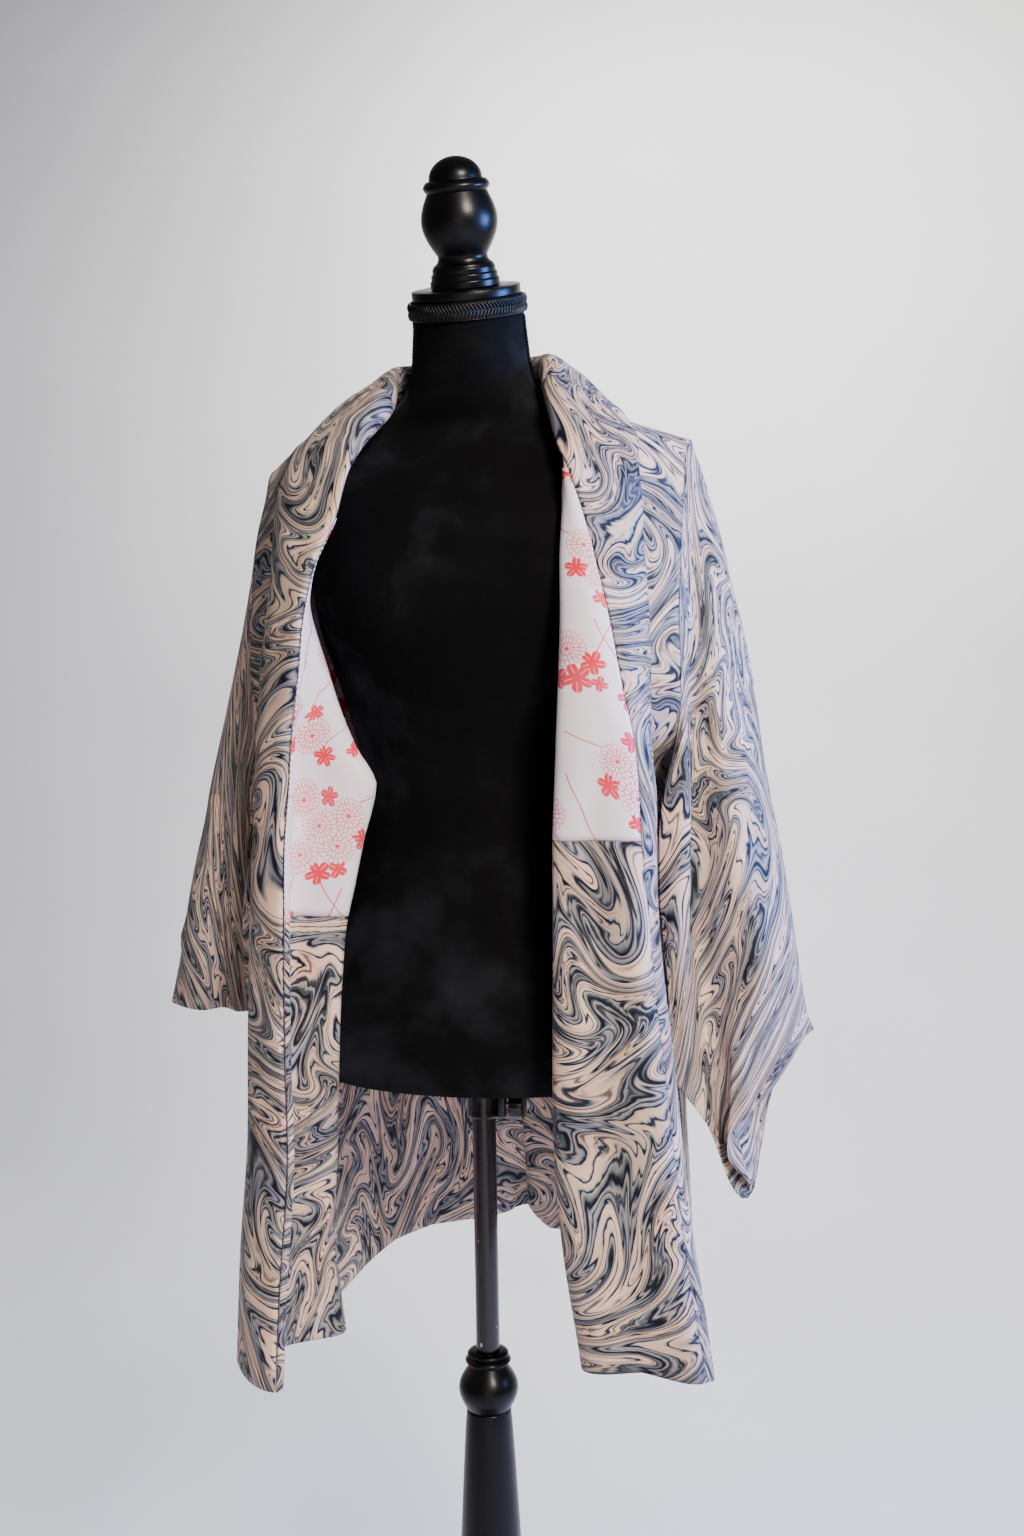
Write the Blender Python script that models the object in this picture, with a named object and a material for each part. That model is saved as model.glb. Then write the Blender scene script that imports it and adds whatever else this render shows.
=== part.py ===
"""Haori jacket hanging open on a limbless dress form with a turned stand.

Frame: metres, +Z up, the origin on the floor on the axis of the pole. The form
faces -Y and its wearer's left side is +X. The tables are in millimetres.
"""

import math

import bmesh
import bpy
import numpy as np

MM = 0.001

# ---------------------------------------------------------------- main sizes (mm)
CLOTH = 1.2  # wall of one layer of cloth
COLLAR_CLOTH = 2.4  # the folded band is several layers
SEAM_GAP = 0.3
LAYER_LIFT = 0.35  # clear space between a panel and what lies on it
EDGE_CLEAR = 0.9  # drawn back from a seam where two walls meet at an angle
FORM_CLEAR = 6.0  # least distance from the form's section to the cloth

# Rows of the tables where something begins or ends
FACING_TOP_ROW = {"left": 5, "right": 4}  # front facing below, lining above
LINING_TOP_ROW = {"left": 12, "right": 11}
GUSSET_TOP_ROW = 6  # in the front tables
ARMHOLE_ROW = 7  # in the front tables
BACK_ARMHOLE_ROW = 5  # in BACK_ROWS
BACK_GUSSET_ROW = 6  # in BACK_ROWS
BACK_FACING_ROW = 9  # in BACK_ROWS
COLLAR_CUT_ROW = 14  # the neck stretch of the band starts here

# Samples between neighbouring table rows and columns
ROW_STEPS = [1] * 12 + [2] * 5
BACK_STEPS = [1] * 13
COLUMN_STEPS = [1, 2, 3, 3, 3, 3, 3]
SEAM_COLUMN = 3  # column S
FOLD_COLUMN = 5  # column F

NECK_TOP = (0.0, -13.0, 1518.0)  # centre of the slanted top of the neck
NECK_TILT = math.radians(20.0)  # its lean towards the front
NECK_RADIUS = 50.0
TORSO_BOTTOM = 821.0
POLE_RADIUS = 10.9
POLE_TOP = 955.0
POLE_BOTTOM = 560.0
BORE_RADIUS = 11.5
BORE_TOP = 1175.0
COLLET_RADIUS = 14.5
COLLET_BOTTOM = 779.0
BASE_RADIUS = 190.0
BASE_HEIGHT = 34.0

# Sections of the form: z, half width, front depth, back depth, centre y, tilt (degrees)
FORM_SECTIONS = [
    (821, 151, 96, 103, 0, 0),
    (850, 158, 102, 112, 0, 0),
    (875, 160, 105, 115, 0, 0),
    (930, 150, 98, 110, 0, 0),
    (990, 129, 90, 95, 0, 0),
    (1040, 113, 86, 82, 0, 0),
    (1085, 106, 85, 77, 0, 0),
    (1130, 112, 92, 80, 0, 0),
    (1180, 126, 107, 87, 0, 0),
    (1225, 141, 120, 93, 0, 0),
    (1255, 147, 122, 96, 0, 0),
    (1300, 157, 106, 96, 0, 0),
    (1340, 170, 80, 86, 0, 0),
    (1364, 180, 60, 68, 4, 0),
    (1381.4, 172, 50, 56, 8, 0),
    (1394.4, 154, 45, 50, 12, 0),
    (1404.4, 126, 44, 48, 12, 0),
    (1414.4, 94, 46, 48, 8, 0),
    (1426, 70, 48, 49, 4, 0),
    (1442, 58, 48, 50, 0, 2),
    (1462, 53, 49, 50, -1, 8),
    (1495, 50, 50, 50, -5, 20),
    (1518, 50, 50, 50, -13, 20),
]
FORM_SIDES = 40

# Front of the haori, one table for each side. At each height z the columns are
# the plan positions (x, y) of
#   E  outer fold of the collar band
#   C  middle of the band
#   Q  band near its seam (its roll where it stands at the neck)
#   S  seam between the band and the body
#   V  middle of the turned-back lapel
#   F  fold of the lapel
#   R  body cloth behind the lapel
#   G  edge at the gusset, or at the armhole from ARMHOLE_ROW up
FRONT_LEFT = [
    (602, (205, -64), (212, -88), (214, -112), (211, -128), (160, -128), (110, -120), (160, -62), (190, 2)),
    (690, (194, -64), (200, -88), (202, -112), (198, -128), (149, -130), (99, -125), (151, -62), (185, 2)),
    (780, (183, -63), (190, -87), (192, -112), (188, -127), (142, -131), (94, -128), (146, -64), (181, 2)),
    (870, (174, -63), (182, -87), (184, -111), (180, -125), (138, -132), (95, -130), (145, -66), (178, 0)),
    (960, (167, -66), (174, -88), (175, -111), (170, -125), (134, -133), (97, -131), (143, -68), (176, -6)),
    (1045, (167, -74), (171, -93), (170, -113), (163, -126), (131, -133),
     (99, -132), (141, -70), (170, -14)),
    (1100, (168, -85), (171, -101), (169, -117), (162, -126), (132, -133),
     (101, -132), (143, -74), (168, -22)),
    (1126, (168, -90), (170, -105), (167, -119), (160, -127), (132, -134),
     (102, -133), (148, -80), (188, -52)),
    (1180, (168, -88), (166, -104), (158, -119), (149, -124), (127, -130),
     (103, -127), (150, -78), (190, -54)),
    (1230, (166, -81), (162, -97), (150, -112), (138, -118), (121, -123),
     (104, -120), (150, -70), (188, -47)),
    (1275, (163, -71), (154, -87), (139, -101), (126, -107), (114, -110),
     (102, -108), (148, -64), (189, -36)),
    (1315, (161, -58), (146, -76), (129, -88), (114, -94), (107, -96), (100, -92), (145, -60), (190, -23)),
    (1352, (158, -54), (138, -68), (118, -77), (101, -84), (98, -82), (97, -76), (140, -56), (191, -9)),
]
FRONT_RIGHT = [
    (602, (-193, -131), (-180, -149), (-162, -164), (-141, -170), (-158, -128),
     (-112, -82), (-160, -60), (-186, 0)),
    (690, (-188, -128), (-176, -146), (-158, -161), (-136, -167), (-152, -126),
     (-113, -94), (-163, -64), (-188, -5)),
    (780, (-181, -122), (-171, -141), (-153, -157), (-130, -163), (-145, -124),
     (-112, -104), (-170, -68), (-190, -12)),
    (870, (-179, -119), (-170, -139), (-153, -155), (-131, -160), (-142, -124),
     (-107, -112), (-190, -80), (-191, -25)),
    (978, (-176, -117), (-168, -136), (-151, -152), (-130, -158), (-140, -125),
     (-96, -113), (-196, -83), (-191, -30)),
    (1045, (-172, -114), (-165, -132), (-150, -148), (-129, -154), (-137, -126),
     (-83, -111), (-184, -80), (-186, -28)),
    (1093, (-170, -112), (-162, -130), (-147, -146), (-125, -152), (-134, -128),
     (-71, -113), (-165, -76), (-182, -28)),
    (1126, (-168, -111), (-160, -129), (-144, -144), (-123, -151), (-132, -131),
     (-86, -119), (-158, -75), (-188, -45)),
    (1180, (-165, -106), (-157, -124), (-139, -140), (-118, -148), (-118, -140),
     (-104, -129), (-152, -75), (-196, -52)),
    (1230, (-162, -98), (-153, -117), (-134, -133), (-114, -142), (-113, -139),
     (-113, -132), (-150, -74), (-198, -48)),
    (1275, (-159, -89), (-148, -109), (-128, -125), (-106, -134), (-107, -132),
     (-110, -127), (-152, -70), (-198, -38)),
    (1315, (-160, -78), (-142, -97), (-118, -111), (-93, -118), (-94, -116),
     (-96, -111), (-150, -64), (-197, -26)),
    (1352, (-158, -66), (-137, -84), (-111, -96), (-87, -103), (-90, -99),
     (-95, -94), (-147, -58), (-193, -12)),
]

# Neck and shoulder, a row for each station from the front of the neck round to
# the centre back, with the same columns as (x, y, z).
YOKE_LEFT = [
    ((152, -34, 1388), (122, -50, 1394), (90, -56, 1392), (86, -53, 1384),
     (92, -53, 1382), (100, -52, 1380), (142, -30, 1392), (192, 0, 1376)),
    ((136, -14, 1411), (104, -26, 1430), (74, -32, 1438), (73, -24, 1424),
     (80, -24, 1421), (90, -23, 1417), (140, -6, 1401), (194, 8, 1384)),
    ((122, 12, 1422), (92, 14, 1454), (65, 10, 1466), (66, 10, 1442),
     (76, 11, 1436), (88, 12, 1428), (140, 20, 1406), (194, 24, 1388)),
    ((88, 66, 1424), (66, 56, 1462), (46, 44, 1474), (48, 42, 1448),
     (58, 47, 1440), (71, 50, 1430), (132, 50, 1399), (191, 46, 1379)),
]
YOKE_RIGHT = [
    ((-150, -46, 1386), (-116, -72, 1394), (-78, -86, 1390), (-80, -80, 1378),
     (-86, -77, 1376), (-94, -73, 1374), (-146, -36, 1390), (-194, -2, 1368)),
    ((-138, -20, 1408), (-98, -42, 1430), (-58, -60, 1424), (-64, -48, 1410),
     (-72, -45, 1409), (-82, -41, 1407), (-142, -10, 1397), (-194, 8, 1376)),
    ((-122, 10, 1420), (-92, 6, 1448), (-66, -4, 1460), (-69, -3, 1438),
     (-78, 1, 1431), (-90, 5, 1424), (-142, 20, 1402), (-194, 24, 1380)),
    ((-88, 66, 1424), (-66, 56, 1460), (-46, 42, 1472), (-49, 40, 1446),
     (-59, 46, 1439), (-72, 50, 1429), (-133, 50, 1399), (-191, 46, 1373)),
]
NAPE = [
    (0, 100, 1422), (0, 80, 1464), (0, 64, 1480), (0, 64, 1452), (10, 67, 1446), (24, 70, 1440),
    (112, 72, 1400), (190, 60, 1372),
]

# Back of the haori: z, depth at the centre, then the armhole or gusset edge (x, y)
BACK_ROWS = [
    (1428, 78, 188, 66, 1362),
    (1398, 92, 188, 68, 1350),
    (1352, 108, 189, 66, 1326),
    (1290, 116, 190, 60, 1280),
    (1225, 116, 190, 54, 1225),
    (1165, 113, 188, 50, 1165),
    (1100, 112, 176, 44, 1100),
    (1045, 117, 176, 46, 1045),
    (960, 131, 178, 52, 960),
    (870, 149, 177, 60, 870),
    (780, 166, 178, 66, 780),
    (690, 183, 180, 72, 690),
    (614, 197, 182, 78, 606),
]
BACK_FRACTIONS = (0.0, 0.12, 0.30, 0.62, 1.0)  # along the half back, from the centre
BACK_FLUTE = 9.0  # depth of the soft folds at the back hem

# Guide lines of a sleeve, evenly spaced round the armhole from its front end to
# its back end. Each starts at the armhole and runs through these points to the
# bottom seam or the cuff. The first and the last are the open inner edges.
SLEEVE_LEFT = [
    ("inner front", [(175, -60, 1065), (170, -52, 985), (176, -46, 900), (174, -42, 838)]),
    ("front quarter", [(192, -63, 1080), (189, -58, 970), (192, -46, 880), (199, -30, 799)]),
    ("front valley", [(204, -46, 1110), (205, -40, 985), (208, -34, 870), (240, 20, 713)]),
    ("front swell", [(216, -40, 1165), (232, -46, 1018), (236, -44, 895), (224, -26, 777)]),
    ("front of cuff", [(226, -26, 1195), (250, -34, 1050), (266, -32, 930), (257, -12, 810)]),
    ("top fold", [(232, 12, 1250), (256, 21, 1100), (279, 31, 960), (295, 37, 862)]),
    ("back of cuff", [(232, 58, 1210), (256, 68, 1060), (272, 66, 930), (266, 52, 814)]),
    ("back swell", [(222, 76, 1165), (238, 82, 1018), (246, 68, 880), (250, 40, 748)]),
    ("back middle", [(206, 76, 1110), (216, 76, 990), (226, 56, 860), (242, 23, 712)]),
    ("back quarter", [(197, 66, 1060), (203, 58, 960), (206, 26, 870), (200, -26, 797)]),
    ("inner back", [(192, 50, 1045), (197, 36, 960), (196, -6, 890), (177, -37, 836)]),
]
SLEEVE_RIGHT = [
    ("inner front", [(-204, -44, 1050), (-208, -40, 990), (-209, -40, 935), (-212, -38, 877)]),
    ("front quarter", [(-208, -55, 1065), (-214, -54, 1000), (-217, -52, 940), (-219, -48, 879)]),
    ("front valley", [(-216, -56, 1110), (-224, -58, 1030), (-228, -58, 955), (-226, -54, 884)]),
    ("front swell", [(-218, -50, 1160), (-236, -56, 1050), (-248, -56, 960), (-250, -50, 881)]),
    ("front of cuff", [(-219, -34, 1190), (-245, -42, 1060), (-268, -42, 960), (-276, -38, 881)]),
    ("top fold", [(-222, 4, 1230), (-248, -4, 1095), (-279, -10, 960), (-299, -14, 881)]),
    ("back of cuff", [(-226, 48, 1200), (-250, 44, 1070), (-270, 36, 960), (-284, 24, 880)]),
    ("back swell", [(-222, 70, 1170), (-240, 74, 1050), (-252, 68, 960), (-256, 44, 876)]),
    ("back middle", [(-210, 74, 1110), (-222, 74, 1020), (-230, 62, 940), (-230, 30, 872)]),
    ("back quarter", [(-204, 66, 1065), (-212, 64, 985), (-217, 48, 925), (-216, 4, 878)]),
    ("inner back", [(-202, 50, 1045), (-206, 40, 985), (-209, 10, 940), (-210, -32, 902)]),
]


# ---------------------------------------------------------------- smooth sheets
def unit(vectors):
    """Vectors scaled to length 1."""
    return vectors / np.maximum(np.linalg.norm(vectors, axis=-1, keepdims=True), 1e-9)


def smooth_line(points, steps):
    """A smooth line through the points, with steps[i] samples in span i.

    Tangents lean towards the shorter neighbour and are as long as the span, so
    a tight fold between two long spans stays round and never loops.
    """
    points = np.asarray(points, float)
    spans = np.diff(points, axis=0)
    lengths = np.maximum(np.linalg.norm(spans, axis=-1, keepdims=True), 1e-6)
    tangents = np.empty_like(points)
    tangents[0] = spans[0]
    tangents[-1] = spans[-1]
    before, after = lengths[:-1], lengths[1:]
    tangents[1:-1] = spans[:-1] / before * after + spans[1:] / after * before
    tangents = unit(tangents)
    line = []
    for span, count in enumerate(steps):
        t = np.linspace(0.0, 1.0, count, endpoint=False).reshape((-1,) + (1,) * (points.ndim - 1))
        start, end = points[span], points[span + 1]
        reach = lengths[span]
        line.append(
            (2 * t**3 - 3 * t**2 + 1) * start
            + (t**3 - 2 * t**2 + t) * tangents[span] * reach
            + (3 * t**2 - 2 * t**3) * end
            + (t**3 - t**2) * tangents[span + 1] * reach
        )
    line.append(points[-1:])
    return np.concatenate(line)


class Sheet:
    """A grid of points in millimetres, [row, column], with its unit normals."""

    def __init__(self, points, normals=None):
        self.points = points
        self.normals = self.find_normals(points) if normals is None else normals

    @staticmethod
    def find_normals(points):
        """Unit normals of a grid, across its rows and columns."""
        return unit(np.cross(np.gradient(points, axis=0), np.gradient(points, axis=1)))

    def part(self, rows=slice(None), columns=slice(None)):
        """The stretch of the sheet between the given rows and columns."""
        return Sheet(self.points[rows, columns].copy(), self.normals[rows, columns].copy())

    def drawn_back(self, distance, first_row=False, last_row=False, first_column=False, last_column=False):
        """The sheet with the named edges moved back along it by the distance."""
        edges = (
            (first_row, np.s_[0], np.s_[1]),
            (last_row, np.s_[-1], np.s_[-2]),
            (first_column, np.s_[:, 0], np.s_[:, 1]),
            (last_column, np.s_[:, -1], np.s_[:, -2]),
        )
        for wanted, edge, inside in edges:
            if wanted:
                self.points[edge] += distance * unit(self.points[inside] - self.points[edge])
        return self

    def raised(self, height):
        """The sheet moved along its normals, for what lies on a panel."""
        return Sheet(self.points + height * self.normals, self.normals)


def material(name, colour, roughness, metallic=0.0):
    """A Principled material, made once for each name."""
    found = bpy.data.materials.get(name)
    if found:
        return found
    made = bpy.data.materials.new(name)
    made.use_nodes = True
    shader = made.node_tree.nodes["Principled BSDF"]
    shader.inputs["Base Color"].default_value = (*colour, 1.0)
    shader.inputs["Roughness"].default_value = roughness
    shader.inputs["Metallic"].default_value = metallic
    made.diffuse_color = (*colour, 1.0)
    return made


FINISHES = {
    "marbled": ((0.36, 0.36, 0.44), 0.7),
    "lining": ((0.86, 0.80, 0.84), 0.6),
    "velvet": ((0.006, 0.006, 0.008), 0.95),
    "braid": ((0.02, 0.02, 0.022), 0.7),
    "lacquer": ((0.012, 0.012, 0.014), 0.35),
    "painted_metal": ((0.015, 0.015, 0.017), 0.3),
    "steel": ((0.6, 0.6, 0.62), 0.3, 1.0),
}


def add_object(name, vertices, faces, finish, parent=None):
    """A closed mesh from points in millimetres, with its faces turned outwards."""
    mesh = bpy.data.meshes.new(name)
    mesh.from_pydata([tuple(MM * value for value in vertex) for vertex in vertices], [], faces)
    work = bmesh.new()
    work.from_mesh(mesh)
    bmesh.ops.recalc_face_normals(work, faces=work.faces)
    work.to_mesh(mesh)
    work.free()
    mesh.shade_smooth()
    mesh.set_sharp_from_angle(angle=math.radians(50))
    mesh.materials.append(material(finish, *FINISHES[finish]))
    made = bpy.data.objects.new(name, mesh)
    bpy.context.collection.objects.link(made)
    made.parent = parent
    return made


def add_wall(name, sheet, thickness, finish, parent):
    """A cloth wall of even thickness with the sheet at its middle."""
    rows, columns = sheet.points.shape[:2]
    outer = (sheet.points + thickness / 2 * sheet.normals).reshape(-1, 3)
    inner = (sheet.points - thickness / 2 * sheet.normals).reshape(-1, 3)
    other = rows * columns

    def at(row, column):
        return row * columns + column

    faces = []
    for row in range(rows - 1):
        for column in range(columns - 1):
            near, right, far, left = (
                at(row, column), at(row, column + 1), at(row + 1, column + 1), at(row + 1, column),
            )
            for corners in ((near, right, far), (near, far, left)):
                faces.append(corners)
                faces.append(tuple(corner + other for corner in reversed(corners)))
    rim = [at(0, column) for column in range(columns)]
    rim += [at(row, columns - 1) for row in range(1, rows)]
    rim += [at(rows - 1, column) for column in range(columns - 2, -1, -1)]
    rim += [at(row, 0) for row in range(rows - 2, 0, -1)]
    for start, end in zip(rim, rim[1:] + rim[:1]):
        faces.append((start, start + other, end + other, end))
    return add_object(name, np.concatenate([outer, inner]), faces, finish, parent)


# ---------------------------------------------------------------- dress form
def form_section(z):
    """Half width, front depth, back depth and centre y of the form at a height."""
    table = np.array(FORM_SECTIONS, float)
    return [float(np.interp(z, table[:, 0], table[:, column])) for column in (1, 2, 3, 4)]


def clear_of_form(points):
    """Points moved out from the form's axis until they clear its section."""
    points = np.array(points, float)
    flat = points.reshape(-1, 3)
    for point in flat:
        if TORSO_BOTTOM < point[2] < NECK_TOP[2]:
            half_width, front, back, centre = form_section(point[2])
            depth = front if point[1] < centre else back
            across = point[0] / (half_width + FORM_CLEAR)
            reach = math.hypot(across, (point[1] - centre) / (depth + FORM_CLEAR))
            if 0.0 < reach < 1.0:
                point[0] /= reach
                point[1] = centre + (point[1] - centre) / reach
    return points


def ring_loft(name, rings, finish, parent, closed=False):
    """A solid through rings of points; closed joins the last ring to the first."""
    count = len(rings[0])
    vertices = np.concatenate(rings)
    faces = []
    pairs = list(range(len(rings) - 1))
    for ring in pairs:
        for side in range(count):
            after = (side + 1) % count
            faces.append((ring * count + side, ring * count + after,
                          (ring + 1) * count + after, (ring + 1) * count + side))
    if closed:
        last = (len(rings) - 1) * count
        for side in range(count):
            after = (side + 1) % count
            faces.append((last + side, last + after, after, side))
    else:
        faces.append(tuple(reversed(range(count))))
        faces.append(tuple(range((len(rings) - 1) * count, len(rings) * count)))
    return add_object(name, vertices, faces, finish, parent)


def circle(radius, z, sides):
    """A level ring of points about the pole axis."""
    angles = np.linspace(0.0, 2 * math.pi, sides, endpoint=False)
    return np.stack([radius * np.cos(angles), radius * np.sin(angles), np.full(sides, z)], axis=-1)


def form_ring(row):
    """One section of the form, tilted forward about the X axis through its centre."""
    z, half_width, front, back, centre, tilt = row
    angles = np.linspace(0.0, 2 * math.pi, FORM_SIDES, endpoint=False)
    across = half_width * np.cos(angles)
    along = np.where(np.sin(angles) < 0, front, back) * np.sin(angles)
    slope = math.radians(tilt)
    return np.stack([across, centre + along * math.cos(slope), z + along * math.sin(slope)], axis=-1)


def turned(name, profile, finish, parent, sides=32, centre=(0.0, 0.0, 0.0), tilt=0.0, bore=0.0):
    """A turned piece: profile of (radius, height) from bottom to top.

    With a bore the piece is a tube; tilt leans its axis forward from its centre.
    """
    rings = [circle(radius, height, sides) for radius, height in profile]
    if bore:
        rings += [circle(bore, profile[-1][1], sides), circle(bore, profile[0][1], sides)]
    vertices = [
        np.stack([ring[:, 0], ring[:, 1] * math.cos(tilt) - ring[:, 2] * math.sin(tilt),
                  ring[:, 1] * math.sin(tilt) + ring[:, 2] * math.cos(tilt)], axis=-1) + np.array(centre)
        for ring in rings
    ]
    return ring_loft(name, vertices, finish, parent, closed=bool(bore))


def arc(start, end, bulge, steps):
    """Profile points of a bulging stretch between two (radius, height) points."""
    share = np.linspace(0.0, 1.0, steps + 1)[1:]
    radii = start[0] + (end[0] - start[0]) * share + bulge * np.sin(math.pi * share)
    heights = start[1] + (end[1] - start[1]) * share
    return list(zip(radii, heights))


# ---------------------------------------------------------------- haori
def steps_before(steps, row):
    """Index in the sampled sheet of a table row or column."""
    return sum(steps[:row])


def front_points(side):
    """Key points of the front, yoke and nape of one side, [row, column]."""
    front = FRONT_LEFT if side == "left" else FRONT_RIGHT
    yoke = YOKE_LEFT if side == "left" else YOKE_RIGHT
    mirror = 1 if side == "left" else -1
    rows = [[(x, y, row[0]) for x, y in row[1:]] for row in front]
    rows += [list(row) for row in yoke]
    rows.append([(mirror * x, y, z) for x, y, z in NAPE])
    return np.array(rows, float)


def back_points(side):
    """Key points of the back of one side below the nape, [row, column]."""
    mirror = 1 if side == "left" else -1
    top, hem = BACK_ROWS[0][0], BACK_ROWS[-1][0]
    rows = []
    for centre_z, depth, edge_x, edge_y, edge_z in BACK_ROWS:
        fall = (top - centre_z) / (top - hem)
        row = []
        for share in BACK_FRACTIONS:
            angle = share * math.pi / 2
            x = edge_x * math.sin(angle) ** 0.85
            y = edge_y + (depth - edge_y) * math.cos(angle) ** 0.85 if share < 1 else edge_y
            y += BACK_FLUTE * fall**2 * math.sin(math.pi * share) * math.cos(4 * math.pi * share)
            row.append((mirror * x, y, centre_z + (edge_z - centre_z) * share))
        rows.append(row)
    return np.array(rows, float)


def smooth_sheet(points, row_steps, column_steps):
    """Points of a smooth sheet through a net of key points."""
    along = smooth_line(points, row_steps)
    return smooth_line(along.swapaxes(0, 1), column_steps).swapaxes(0, 1)


class HaoriSide:
    """The sheets of one side of the haori, with normals towards its inside."""

    def __init__(self, side):
        self.side = side
        self.inward = 1 if side == "left" else -1
        front = smooth_sheet(front_points(side), ROW_STEPS, COLUMN_STEPS)
        self.seam = steps_before(COLUMN_STEPS, SEAM_COLUMN)
        self.fold = steps_before(COLUMN_STEPS, FOLD_COLUMN)
        front = clear_of_form(front)
        self.front = self.facing_in(Sheet(front))
        key_rows = np.concatenate([front_points(side)[-1:, SEAM_COLUMN:], back_points(side)])
        back = smooth_sheet(key_rows, BACK_STEPS, COLUMN_STEPS[SEAM_COLUMN:])
        self.nape = len(front) - 1
        points = np.concatenate([front[:, self.seam:], clear_of_form(back[1:])])
        self.body = self.facing_in(Sheet(points))
        self.body.normals[: self.nape] = self.front.normals[:-1, self.seam:]
        self.body.normals[self.nape:, 0, 0] = 0.0
        self.body.normals = unit(self.body.normals)

    def facing_in(self, sheet):
        """The sheet with its normals turned towards the inside of the garment."""
        return Sheet(sheet.points, sheet.normals * self.inward)

    def back_row(self, row):
        """Index in the body sheet of a row of BACK_ROWS."""
        return self.nape + steps_before(BACK_STEPS, row + 1)

    def front_row(self, row):
        """Index in the sheets of a row of the front tables."""
        return steps_before(ROW_STEPS, row)

    def armhole(self, count):
        """Evenly spaced points round the armhole edge, with the shoulder tip in the middle."""
        edge = self.body.points[self.front_row(ARMHOLE_ROW): self.back_row(BACK_ARMHOLE_ROW) + 1, -1]
        tip = int(np.argmax(edge[:, 2]))
        halves = []
        for half, number in ((edge[: tip + 1], count // 2), (edge[tip:], count // 2)):
            lengths = np.concatenate([[0.0], np.cumsum(np.linalg.norm(np.diff(half, axis=0), axis=1))])
            at = np.linspace(0.0, lengths[-1], number + 1)
            halves.append(np.stack([np.interp(at, lengths, half[:, axis]) for axis in range(3)], axis=1))
        return np.concatenate([halves[0], halves[1][1:]])

    def sleeve(self):
        """The sleeve's sheet: rows round the armhole, columns down to the cuff."""
        guides = SLEEVE_LEFT if self.side == "left" else SLEEVE_RIGHT
        starts = self.armhole(len(guides) - 1) + np.array([self.inward * (CLOTH + 3 * SEAM_GAP), 0.0, 0.0])
        net = np.array([[start, *points] for start, (_, points) in zip(starts, guides)], float)
        return Sheet(smooth_sheet(net, [2] * (len(guides) - 1), [2] * (net.shape[1] - 1)))

    def gusset(self):
        """The wedge between the front and the back below the armhole."""
        front = self.body.points[: self.front_row(GUSSET_TOP_ROW) + 1, -1][::-1]
        back = self.body.points[self.back_row(BACK_GUSSET_ROW):, -1]
        share = np.linspace(0.0, 1.0, 10)
        lines = []
        for line in (front, back):
            at = np.linspace(0.0, 1.0, len(line))
            lines.append(np.stack([np.interp(share, at, line[:, axis]) for axis in range(3)], axis=1))
        middle = (lines[0] + lines[1]) / 2 + np.array([self.inward * 3.0, 0.0, 0.0])
        sheet = smooth_sheet(np.stack([lines[0], middle, lines[1]], axis=1), [1] * 9, [2, 2])
        return Sheet(sheet).drawn_back(EDGE_CLEAR, first_column=True, last_column=True)


def add_layer(name, sheet, finish, parent):
    """A lining or facing lying on the inside of a panel."""
    thickness = CLOTH * 0.6
    add_wall(name, sheet.raised(CLOTH / 2 + LAYER_LIFT + thickness / 2), thickness, finish, parent)


def build_haori(parent):
    """Every sewn piece of the haori."""
    half_gap = SEAM_GAP / 2
    sides = {name: HaoriSide(name) for name in ("left", "right")}
    for name, haori in sides.items():
        body = haori.body.part().drawn_back(half_gap, first_column=True)
        add_wall(f"body_{name}", body, CLOTH, "marbled", parent)
        add_wall(f"sleeve_{name}", haori.sleeve(), CLOTH, "marbled", parent)
        add_wall(f"gusset_{name}", haori.gusset(), CLOTH, "marbled", parent)

        cut = haori.front_row(COLLAR_CUT_ROW)
        collar = haori.front.part(slice(0, cut + 1), slice(0, haori.seam + 1))
        collar.drawn_back(half_gap, last_row=True).drawn_back(2 * SEAM_GAP, last_column=True)
        add_wall(f"collar_{name}", collar, COLLAR_CLOTH, "marbled", parent)

        lapel = slice(haori.seam, haori.fold + 2)
        facing_top = haori.front_row(FACING_TOP_ROW[name])
        lining_top = haori.front_row(LINING_TOP_ROW[name])
        facing = haori.front.part(slice(0, facing_top + 1), lapel)
        facing.drawn_back(half_gap * 3, first_column=True, last_row=True)
        add_layer(f"facing_front_{name}", facing, "marbled", parent)
        lining = haori.front.part(slice(facing_top, lining_top + 1), lapel)
        lining.drawn_back(half_gap * 3, first_column=True, first_row=True)
        add_layer(f"lining_front_{name}", lining, "lining", parent)
        turn_up = haori.body.part(slice(haori.back_row(BACK_FACING_ROW), None))
        turn_up.drawn_back(half_gap * 3, first_column=True, last_column=True)
        add_layer(f"facing_back_{name}", turn_up, "marbled", parent)

    cut = sides["left"].front_row(COLLAR_CUT_ROW)
    stretches = [side.front.part(slice(cut, None), slice(0, side.seam + 1)) for side in sides.values()]
    left, right = stretches
    neck = Sheet(
        np.concatenate([left.points, right.points[-2::-1]]),
        np.concatenate([left.normals, right.normals[-2::-1]]),
    )
    nape = len(left.points) - 1
    neck.normals[nape, :, 0] = 0.0
    neck.normals = unit(neck.normals)
    neck.drawn_back(half_gap, first_row=True, last_row=True).drawn_back(SEAM_GAP, last_column=True)
    add_wall("collar_neck", neck, COLLAR_CLOTH, "marbled", parent)


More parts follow.
